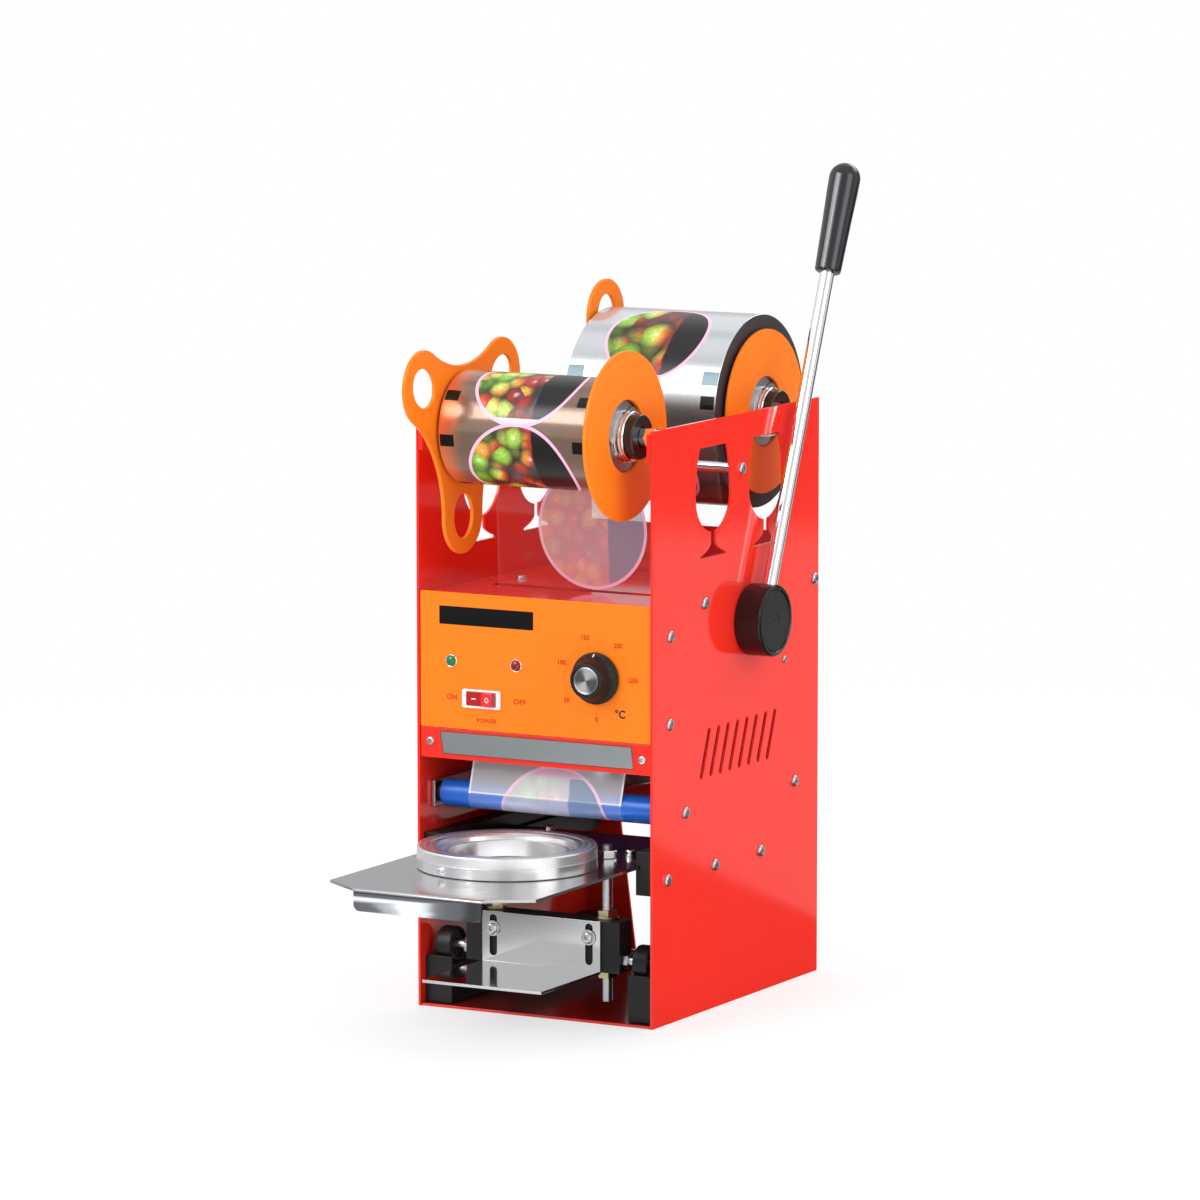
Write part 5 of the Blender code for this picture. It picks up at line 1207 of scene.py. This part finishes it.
def lobed_outline(radius, depth):
    """A round of three broad lobes with narrow dips between them."""
    turns = [2 * math.pi * step / 96 for step in range(96)]
    reaches = [radius - depth * (0.5 - 0.5 * math.cos(3 * turn)) ** 3 for turn in turns]
    return [(reach * math.cos(turn), reach * math.sin(turn)) for reach, turn in zip(reaches, turns)]


def turn_from(start, spot, centre):
    """How far round the roll's axis a place lies from the film's loose end."""
    return (math.atan2(spot.z - centre.z, spot.y - centre.y) - start) % (2 * math.pi)


def wound_film(prefix, centre, radius, seam, end_paint):
    """The wound film, closed at both ends, with its printed face unrolled in metres."""
    core = 39.5 * MM if prefix == "takeup" else 40.0 * MM
    form = barrel(core, radius, FILM_HALF, 0.25 * MM, 128)
    placed(form, "X", (0, centre.y, centre.z), math.radians(seam))
    layer = form.loops.layers.uv.new("UVMap")
    start = math.radians(seam)
    for face in form.faces:
        turn = turn_from(start, face.calc_center_median(), centre)
        for loop in face.loops:
            own = turn_from(start, loop.vert.co, centre)
            if abs(own - turn) > math.pi:
                own -= math.copysign(2 * math.pi, own - turn)
            loop[layer].uv = (loop.vert.co.x, (own + start) * radius)
        face.material_index = 1 if abs(face.normal.x) > 0.9 else 0
    item = piece(f"{prefix}_wound_film", form, f"{prefix}_roll", f"{prefix}_print", "film", f"{prefix}_film")
    item.data.materials.append(FINISH[end_paint].material)
    reach = FILM_HALF + 0.4 * MM
    card = tube(37.4 * MM, core - 0.1 * MM, -reach, reach, 96, 0.2 * MM)
    card = placed(card, "X", (0, centre.y, centre.z))
    piece(f"{prefix}_card_core", card, f"{prefix}_roll", "card", "film")


def knurled(form, beyond, depth, count):
    """Ripples a spun form round its axis, beyond a radius."""
    for corner in form.verts:
        if math.hypot(corner.co.x, corner.co.y) > beyond:
            ripple = 1 + depth * math.cos(count * math.atan2(corner.co.y, corner.co.x))
            corner.co.x *= ripple
            corner.co.y *= ripple
    return form


def roll_shaft(end):
    """The round shaft along X, its right end shaved to six soft flats."""
    form = moved_by(barrel(0, 7.5 * MM, end, 0.4 * MM, 64), turned_to("X"))
    for corner in form.verts:
        if corner.co.x > 77 * MM:
            heading = math.atan2(corner.co.z, corner.co.y) % (math.pi / 3) - math.pi / 6
            corner.co.y *= 0.88 / math.cos(heading)
            corner.co.z *= 0.88 / math.cos(heading)
    return form


def roll(prefix, centre, radius, first_angle, seam, end_paint):
    """A roll: star flange, wound film, round flange, shaft, clamping discs, collars and thumb screw."""
    place = (0, centre.y, centre.z)

    def fitted(name, form, paint, slot, *nodes):
        piece(f"{prefix}_{name}", form, f"{prefix}_roll", paint, slot, *nodes)

    star(prefix, centre, first_angle)
    wound_film(prefix, centre, radius, seam, end_paint)
    low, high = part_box(f"{prefix}_flange")
    flange = tube(25.5 * MM, half_height(f"{prefix}_flange"), low.x, high.x, 128, 0.8 * MM)
    fitted("round_flange", placed(flange, "X", place), "orange", "orange_plastic", f"{prefix}_flange")
    shaft = moved_by(roll_shaft(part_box(f"{prefix}_shaft")[1].x), Matrix.Translation(place))
    left_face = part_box(f"{prefix}_star")[0].x
    collar = tube(ROLL_BORE, 12 * MM, left_face - 4.2 * MM, left_face - 0.3 * MM, 64, 0.4 * MM)
    shaft = gathered(shaft, placed(collar, "X", place))
    fitted("roll_shaft", shaft, "chrome", "chrome", f"{prefix}_shaft")
    bore = [circle((0, 0), ROLL_BORE, 40)]
    discs = []
    for sign in (-1, 1):
        ends = sorted((sign * (low.x - 0.5 * MM), sign * (low.x - 12.3 * MM)))
        discs.append(placed(sheet_form(circle((0, 0), 37.2 * MM, 96), bore, *ends, 0.5 * MM), "X", place))
    lobes = lobed_outline(25.0 * MM, 7.5 * MM)
    clamp = sheet_form(lobes, bore, low.x - 0.6 * MM, high.x - 1.4 * MM, 0.4 * MM)
    fitted("clamp_disc", gathered(*discs, placed(clamp, "X", place, 0.4)), "disc", "steel")
    start = high.x - 3.0 * MM
    grooved = turned([(7.6, 0), (18.3, 0), (18.5, 0.3), (18.5, 2.6), (17.4, 2.9), (17.4, 3.6), (18.3, 3.9),
                      (18.3, 5.6), (17.2, 5.9), (17.2, 6.6), (17.8, 6.9), (17.8, 8.3), (16.9, 8.9),
                      (7.6, 8.9)], 96, 0.12 * MM, start)
    fitted("grooved_collar", placed(grooved, "X", place), "chrome", "chrome")
    start += 9.2 * MM
    black = turned([(7.6, 0), (15.6, 0), (16.0, 0.5), (16.0, 5.6), (15.3, 6.4), (7.6, 6.4)],
                   96, 0.3 * MM, start)
    fitted("black_collar", placed(black, "X", place), "collar", "black_plastic")
    knob = turned([(0, 12), (2.4, 12), (2.4, 16.6), (4.0, 17.0), (4.2, 17.6), (4.2, 20.6), (3.8, 21.2),
                   (0, 21.2)], 32, 0.15 * MM)
    stand = Matrix.Translation((start + 4.3 * MM, centre.y, centre.z)) @ rotation(-118, "X")
    fitted("thumb_screw", moved_by(knurled(knob, 3.7 * MM, 0.05, 16), stand), "chrome", "chrome")


def roller(name):
    radius, end, place = half_height(name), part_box(name)[1].x, on_axis(name)
    half = end - 3.8 * MM
    sleeve = placed(barrel(5 * MM, radius, half - 3 * MM, 0.5 * MM, 72), "X", place)
    piece(f"{name}_sleeve", sleeve, name, "blue", "blue_rubber", name)
    for label, side in (("left", -1), ("right", 1)):
        ends = sorted((side * half, side * (half - 2.9 * MM)))
        ring = placed(tube(3.0 * MM, 7.8 * MM, *ends, 64, 0.4 * MM), "X", place)
        piece(f"{name}_{label}_end_ring", ring, name, "black", "black_plastic")
    journal = placed(tube(0, 3.0 * MM, -end, end, 40, 0.3 * MM), "X", place)
    piece(f"{name}_journal", journal, name, "steel", "steel")


# ---------------------------------------------------------------- film between the rolls
def tangent_points(first, first_radius, second, second_radius):
    """The straight run that touches two circles; a positive radius puts it on the left of the way."""
    start, end = Vector(first), Vector(second)
    way = end - start
    along = way / way.length
    left = Vector((-along.y, along.x))
    slope = (first_radius - second_radius) / way.length
    normal = left * math.sqrt(1 - slope ** 2) + along * slope
    return start + normal * first_radius, end + normal * second_radius


def wrap(centre, radius, start, end, steps):
    """Points round a circle from one point on it to another, the short way, both ends included."""
    a = math.atan2(start[1] - centre[1], start[0] - centre[0])
    b = math.atan2(end[1] - centre[1], end[0] - centre[0])
    turn = (b - a + math.pi) % (2 * math.pi) - math.pi
    angles = [a + turn * step / steps for step in range(steps + 1)]
    return [Vector((centre[0] + radius * math.cos(t), centre[1] + radius * math.sin(t))) for t in angles]


def film_route():
    """The film's way in (y, z): supply roll, guide rod, rear roller, front roller, deck slot, take-up."""
    lift = 0.45 * MM
    guide, rear, front = [on_axis(node)[1:] for node in ("film_guide_rod", "rear_roller", "front_roller")]
    supply, takeup = (SUPPLY.y, SUPPLY.z), (TAKEUP.y, TAKEUP.z)
    rod_radius = 4 * MM + lift
    roller_radius = half_height("front_roller") + lift
    leave_roll, meet_rod = tangent_points(supply, -SUPPLY_FILM_RADIUS - lift, guide, -rod_radius)
    leave_rod, meet_rear = tangent_points(guide, -rod_radius, rear, roller_radius)
    rear_foot = Vector((rear[0], rear[1] - roller_radius))
    front_foot = Vector((front[0], front[1] - roller_radius))
    slot_edge = (SLOT_EDGE_Y + 0.6 * MM, DECK_TOP - SHEET - 0.3 * MM)
    leave_front, _ = tangent_points(front, roller_radius, slot_edge, 0)
    _, meet_takeup = tangent_points(slot_edge, 0, takeup, -TAKEUP_FILM_RADIUS - lift)
    route = [leave_roll, *wrap(guide, rod_radius, meet_rod, leave_rod, 8)]
    route += wrap(rear, roller_radius, meet_rear, rear_foot, 20)
    route += wrap(front, roller_radius, front_foot, leave_front, 20)
    route += [Vector(slot_edge), meet_takeup]
    return route, rear_foot, leave_front


def film_sheet():
    """One unbroken width of film along its whole way, with one disc cut out under the head."""
    route, rear_foot, leave_front = film_route()
    lengths = [0.0]
    for a, b in zip(route, route[1:]):
        lengths.append(lengths[-1] + (b - a).length)
    total = lengths[-1]
    start = next(s for point, s in zip(route, lengths) if (point - rear_foot).length < 1e-7)
    hole_at = start + (rear_foot.x - HEAD_Y)
    form = bmesh.new()
    outline = rectangle((0, total / 2), 2 * FILM_HALF, total)
    edges = add_outline(form, outline) + add_outline(form, circle((0, hole_at), HOLE_RADIUS, 96))
    bmesh.ops.triangle_fill(form, use_beauty=True, use_dissolve=False, edges=edges, normal=(0, 0, 1))
    cuts = sorted({round(s, 7) for s in lengths[1:-1]} | {total * step / 60 for step in range(1, 60)})
    for spot in cuts:
        everything = form.verts[:] + form.edges[:] + form.faces[:]
        bmesh.ops.bisect_plane(form, geom=everything, plane_co=(0, spot, 0), plane_no=(0, 1, 0), dist=1e-7)
    bmesh.ops.remove_doubles(form, verts=form.verts, dist=1e-6)
    layer = form.loops.layers.uv.new("UVMap")
    for face in form.faces:
        for loop in face.loops:
            loop[layer].uv = loop.vert.co.xy
    for corner in form.verts:
        s = min(max(corner.co.y, 0.0), total)
        index = max(i for i, length in enumerate(lengths[:-1]) if length <= s + 1e-9)
        span = lengths[index + 1] - lengths[index]
        point = route[index].lerp(route[index + 1], (s - lengths[index]) / span)
        corner.co.y, corner.co.z = point.x, point.y
    print_at = total - LAST_PRINT
    roller_at = next(s for point, s in zip(route, lengths) if (point - leave_front).length < 1e-7)
    FINISH["web"] = web_film("clear_printed_film", print_at, lengths[-2], roller_at, WEB_PITCH)
    item = piece("film_web", form, "housing", "web", "film", "rear_web", "seal_web", "front_web", level=False)


# ---------------------------------------------------------------- press
def press():
    copied("press_bridge_plate", "press_bridge", 0.4, "housing", "bridge", "steel")
    copied("head_carrier_plate", "head_carrier", 0.4, "press_head", "stainless", "steel")
    low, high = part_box("heating_plate")
    radius, top = (high.x - low.x) / 2 / MM, (high.z - low.z) / MM
    disc = [(0, 0), (radius - 1.0, 0), (radius, 1.0), (radius, 12), (15, 12), (15, top), (0, top)]
    form = placed(turned(disc, 128), "Z", (0, HEAD_Y, low.z))
    piece("heating_disc", form, "press_head", "plate", "aluminium", "heating_plate")
    low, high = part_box("cutter_ring")
    outer, top, depth = (high.x - low.x) / 2 / MM, (high.z - low.z) / MM, 15.6
    bell = [(0, depth), (outer - 2.2, depth), (outer - 2.2, 0), (outer - 1.0, 0), (outer, 3),
            (outer, depth + 4.2), (outer - 1.2, depth + 5), (34, depth + 5), (34, top), (0, top)]
    form = placed(turned(bell, 128), "Z", (0, HEAD_Y, low.z))
    piece("cutter_bell", form, "press_head", "steel", "steel", "cutter_ring")
    for side, sign in (("left", -1), ("right", 1)):
        low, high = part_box(f"{side}_guide_post")
        centre = middle(f"{side}_guide_post")
        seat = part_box("head_carrier")[0].z + 8.3 * MM
        neck = high.z - 6 * MM
        post = [(0, low.z), (4.4 * MM, low.z), (4.4 * MM, seat), (6.0 * MM, seat), (6.0 * MM, neck),
                (10.5 * MM, neck), (10.5 * MM, high.z), (0, high.z)]
        form = placed(spun_form(post, 64, 0.3 * MM), "Z", (centre.x, HEAD_Y, 0))
        nut = placed(hex_nut(13 * MM, 5.6 * MM), "Z", (centre.x, HEAD_Y, low.z + 0.05 * MM), 0.3)
        piece(f"{side}_post", gathered(form, nut), "press_head", "chrome", "chrome", f"{side}_guide_post")
        coil(side, centre.x)
        bearing(side, sign)
    copied("crank_arms", "crank", 0.4, "lever", "steel", "steel")


def coil(side, x):
    """A compression spring: a round wire spun up round the post."""
    low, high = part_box(f"{side}_return_spring")
    wire, radius, turns = 0.95 * MM, 8.6 * MM, 6
    form = bmesh.new()
    ring = bmesh.ops.create_circle(form, cap_ends=False, segments=10, radius=wire)["verts"]
    upright = Matrix.Translation((radius, 0, 0)) @ rotation(90, "X")
    bmesh.ops.transform(form, matrix=upright, verts=ring)
    edges = form.edges[:]
    rise = (high.z - low.z - 2 * wire) / (turns * 48)
    bmesh.ops.spin(form, geom=ring + edges, cent=(0, 0, 0), axis=(0, 0, 1), dvec=(0, 0, rise),
                   angle=2 * math.pi * turns, steps=turns * 48)
    for _ in range(2):
        open_edges = [e for e in form.edges if e.is_boundary]
        if open_edges:
            first = open_edges[0].verts[0].co
            one_end = [e for e in open_edges if (e.verts[0].co - first).length < 4 * wire]
            bmesh.ops.contextual_create(form, geom=one_end)
    bmesh.ops.recalc_face_normals(form, faces=form.faces)
    placed(form, "Z", (x, HEAD_Y, low.z + wire))
    item = piece(f"{side}_spring_coil", form, "housing", "spring", "spring_steel", f"{side}_return_spring",
                 angle=60, level=False)
    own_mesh(item)


def bearing(side, sign):
    bush = [(8.3, -6.0), (19.2, -6.0), (20.0, -5.2), (20.0, 0.0), (13.7, 0.0), (13.7, 2.0), (8.3, 2.0)]
    form = turned(bush, 72, 0.25 * MM, INNER_X)
    reach, depth = 16.6 * MM, INNER_X - 5.9 * MM
    screws = [placed(pan_screw(2.0 * MM, 1.2 * MM), "-Z", (reach * math.cos(t), reach * math.sin(t), depth))
              for t in (math.radians(60 + 120 * step) for step in range(3))]
    axis = "X" if sign > 0 else "-X"
    whole = placed(gathered(form, *screws), axis, (0, SHAFT_Y, SHAFT_Z))
    piece(f"{side}_flanged_bush", whole, "housing", "stainless", "steel", f"{side}_shaft_bearing")


# ---------------------------------------------------------------- lever
def lever():
    """The hub, chromed rod and black grip, with the shaft that they turn."""
    place = on_axis("main_shaft")
    low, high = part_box("main_shaft")
    shaft = placed(tube(0, 8 * MM, low.x, high.x, 64, 0.5 * MM), "X", place)
    piece("turned_shaft", shaft, "lever", "steel", "steel", "main_shaft")
    start = HUB_LOW.x
    t = (HUB_HIGH.x - start) / MM
    hub = [(8.3, 0), (24.4, 0), (25.5, 0.5), (26.0, 1.6), (26.0, t - 1.8), (25.6, t - 0.7), (24.6, t),
           (22.9, t), (22.4, t - 0.5), (22.3, t - 1.5), (0, t - 1.5), (0, t - 5.0), (8.3, t - 5.0)]
    form = placed(turned(hub, 128, start=start), "X", place)
    angle, reach = math.radians(-34), 24.5 * MM
    lug = [(0, 1.0), (5.2, 1.0), (5.7, 1.5), (5.7, 10.2), (5.2, 10.8), (0, 10.8)]
    spot = (0, SHAFT_Y + reach * math.cos(angle), SHAFT_Z + reach * math.sin(angle))
    ear = placed(turned(lug, 40, start=start), "X", spot)
    piece("hub_knob", gathered(form, ear), "lever", "gloss_black", "black_plastic", "lever_hub")
    cap = [(0, t - 2.6), (22.1, t - 2.6), (22.1, t - 1.0), (21.5, t - 0.45), (6.0, t - 0.35), (5.5, t - 0.7),
           (1.6, t - 0.7), (1.3, t - 1.2), (0, t - 1.2)]
    cap = placed(turned(cap, 128, 0.1 * MM, start), "X", place)
    piece("hub_cap", cap, "lever", "cap", "black_plastic")
    lean = Matrix.Translation(((start + HUB_HIGH.x) / 2, SHAFT_Y, SHAFT_Z)) @ rotation(-22.35, "X")
    length, grip_low = 345, 262
    rod = moved_by(tube(0, 5.25 * MM, 12.7 * MM, (grip_low + 20) * MM, 64, 0.2 * MM), lean)
    piece("lever_bar", rod, "lever", "chrome", "chrome", "lever_rod")
    dome = 11.5
    grip = [(reach, grip_low + height) for reach, height in
            ((5.4, 0), (8.2, 0), (9.2, 0.6), (9.6, 2), (9.9, 14), (10.6, 40), (11.3, 60))]
    angles = [math.radians(9 * step) for step in range(10)]
    grip += [(dome * math.cos(a), length - dome + dome * math.sin(a)) for a in angles]
    grip += [(0, length), (0, grip_low + 24), (5.4, grip_low + 24)]
    piece("lever_handgrip", moved_by(turned(grip), lean), "lever", "grip", "black_plastic", "lever_grip")


# ---------------------------------------------------------------- studio
def floor():
    """A pale floor, white to the camera, which reflections see as grey patches."""
    bm = bmesh.new()
    bmesh.ops.create_grid(bm, x_segments=1, y_segments=1, size=9.0)
    bmesh.ops.translate(bm, vec=(0, 0, cad_box[0].z - 0.2 * MM), verts=bm.verts)
    mesh = bpy.data.meshes.new("floor")
    bm.to_mesh(mesh)
    bm.free()
    ground = bpy.data.objects.new("floor", mesh)
    bpy.context.collection.objects.link(ground)
    paint = Paint("pale_floor", (0.93, 0.93, 0.93), 0.0, 0.6)
    camera_ray, glossy_ray, clear_ray = paint.rays()

    def light(colour):
        return paint.node("Emission", None, {"Color": colour, "Strength": 1.0})

    x, y, _ = paint.parts(paint.object_place())
    reach = (x * x + y * y).root()
    seen = paint.most(camera_ray, paint.most(glossy_ray, clear_ray))
    seen = seen * (0.62 + reach.between(0.35, 1.6) * 0.38)
    mixed = paint.node("MixShader", None, {0: seen, 1: paint.shader.outputs[0], 2: light((1.0, 1.0, 1.0))})
    front = 1 - y.between(-0.50, -0.34)
    near_front = y.below(FRONT_Y) * (1 - front) * (x + y * 0.4 + 0.30).between(-0.02, 0.04)
    tone = 0.60 + front * (x.between(-0.22, -0.06) * 1.05 - 0.27) + near_front * 0.45
    tone = paint.node("CombineColor", None, {0: tone, 1: tone, 2: tone})
    mixed = paint.node("MixShader", None, {0: glossy_ray, 1: mixed, 2: light(tone)})
    patch = (1 - (y - x * 0.868 - 0.149).between(-0.004, 0.012)) * x.above(OUTER_X) * y.above(FRONT_Y)
    far = reach.above(2.75) * x.above(0.4) * y.above(1.2)
    mixed = paint.node("MixShader", None, {0: paint.most(patch, far) * glossy_ray, 1: mixed,
                                           2: light((0.10, 0.10, 0.10))})
    paint.feed(paint.tree.nodes["Material Output"].inputs[0], mixed)
    mesh.materials.append(paint.material)


def surround():
    """White all round, with dark cards, ripples and a soft box that only reflections see."""
    world = bpy.data.worlds.new("surround")
    world.use_nodes = True
    bpy.context.scene.world = world
    sky = Tree(world.node_tree)
    camera_ray, glossy_ray, clear_ray = sky.rays()
    side, depth, height = sky.parts(sky.node("TexCoord"))
    heading = sky.maths("ARCTAN2", side, depth)
    card = (1 - (heading - 0.34).size().between(0.10, 0.24)) * (1 - height.size().between(0.75, 0.95))
    low_back = (1 - heading.size().between(0.7, 1.3)) * (1 - height.between(0.25, 0.50)) * 0.45
    ripple = (heading * 5.0 + 0.8).wave().between(0.35, 0.95) * 0.38
    dark = sky.most(card, sky.most(low_back, ripple))
    facing = sky.maths("ARCTAN2", side, 0 - depth)
    softbox = (1 - (facing + 0.48).size().between(0.36, 0.50)) * height.between(0.34, 0.40)
    softbox = softbox * (1 - height.between(0.64, 0.72))
    glossy = sky.mix(dark, (0.95, 0.95, 0.96), (0.10, 0.10, 0.11))
    glossy = sky.mix(softbox, glossy, (5.0, 5.0, 5.0))
    plain = sky.mix(height.between(-0.2, 0.9), (0.44, 0.44, 0.44), (1.25, 1.25, 1.25))
    colour = sky.mix(glossy_ray, plain, glossy)
    colour = sky.mix(sky.most(camera_ray, clear_ray), colour, (1.0, 1.0, 1.0))
    sky.feed(sky.tree.nodes["Background"].inputs[0], colour)


def lamps():
    for name, place, size, power in (("key", (-1.1, -1.9, 1.9), (1.3, 1.3), 15),
                                     ("side", (2.2, -0.5, 1.3), (1.2, 1.6), 12),
                                     ("strip", (-0.80, -2.30, 1.55), (0.10, 1.5), 9),
                                     ("rear", (0.4, 1.9, 1.7), (1.6, 0.8), 12)):
        lamp = bpy.data.lights.new(name, "AREA")
        lamp.shape = "RECTANGLE"
        lamp.size, lamp.size_y = size
        lamp.energy = power
        aimed(name, lamp, place, (0, 0, 0.22))


def aimed(name, data, place, target):
    """Puts a lamp or a camera in its place, pointed at the target."""
    item = bpy.data.objects.new(name, data)
    item.location = place
    item.rotation_mode = "QUATERNION"
    item.rotation_quaternion = (Vector(target) - Vector(place)).to_track_quat("-Z", "Y")
    bpy.context.collection.objects.link(item)
    return item


def camera():
    lens = bpy.data.cameras.new("camera")
    lens.lens = 210.6
    lens.sensor_width = 36.0
    lens.shift_x, lens.shift_y = -0.0171, 0.0825
    lens.clip_end = 60
    place = (2.39367, -4.42045, 0.97464)
    bpy.context.scene.camera = aimed("camera", lens, place, (0, 0, 0.2125))
    bpy.context.scene.view_settings.view_transform = "Standard"


camera()
side_panels()
folded_sheets()
control_face()
notice_plate()
indicator("green_lamp", GREEN_AT, "green_lens")
indicator("red_lamp", RED_AT, "red_lens")
rocker_switch()
dial()
power_socket()
panel_screws()
housing_rods()
rails()
tray_sheet()
cup_ring()
carrier()
support_plate()
roll("takeup", TAKEUP, TAKEUP_FILM_RADIUS, 30, 300, "takeup_end")
roll("supply", SUPPLY, SUPPLY_FILM_RADIUS, 90, 300, "supply_end")
roller("front_roller")
roller("rear_roller")
film_sheet()
press()
lever()
floor()
surround()
lamps()
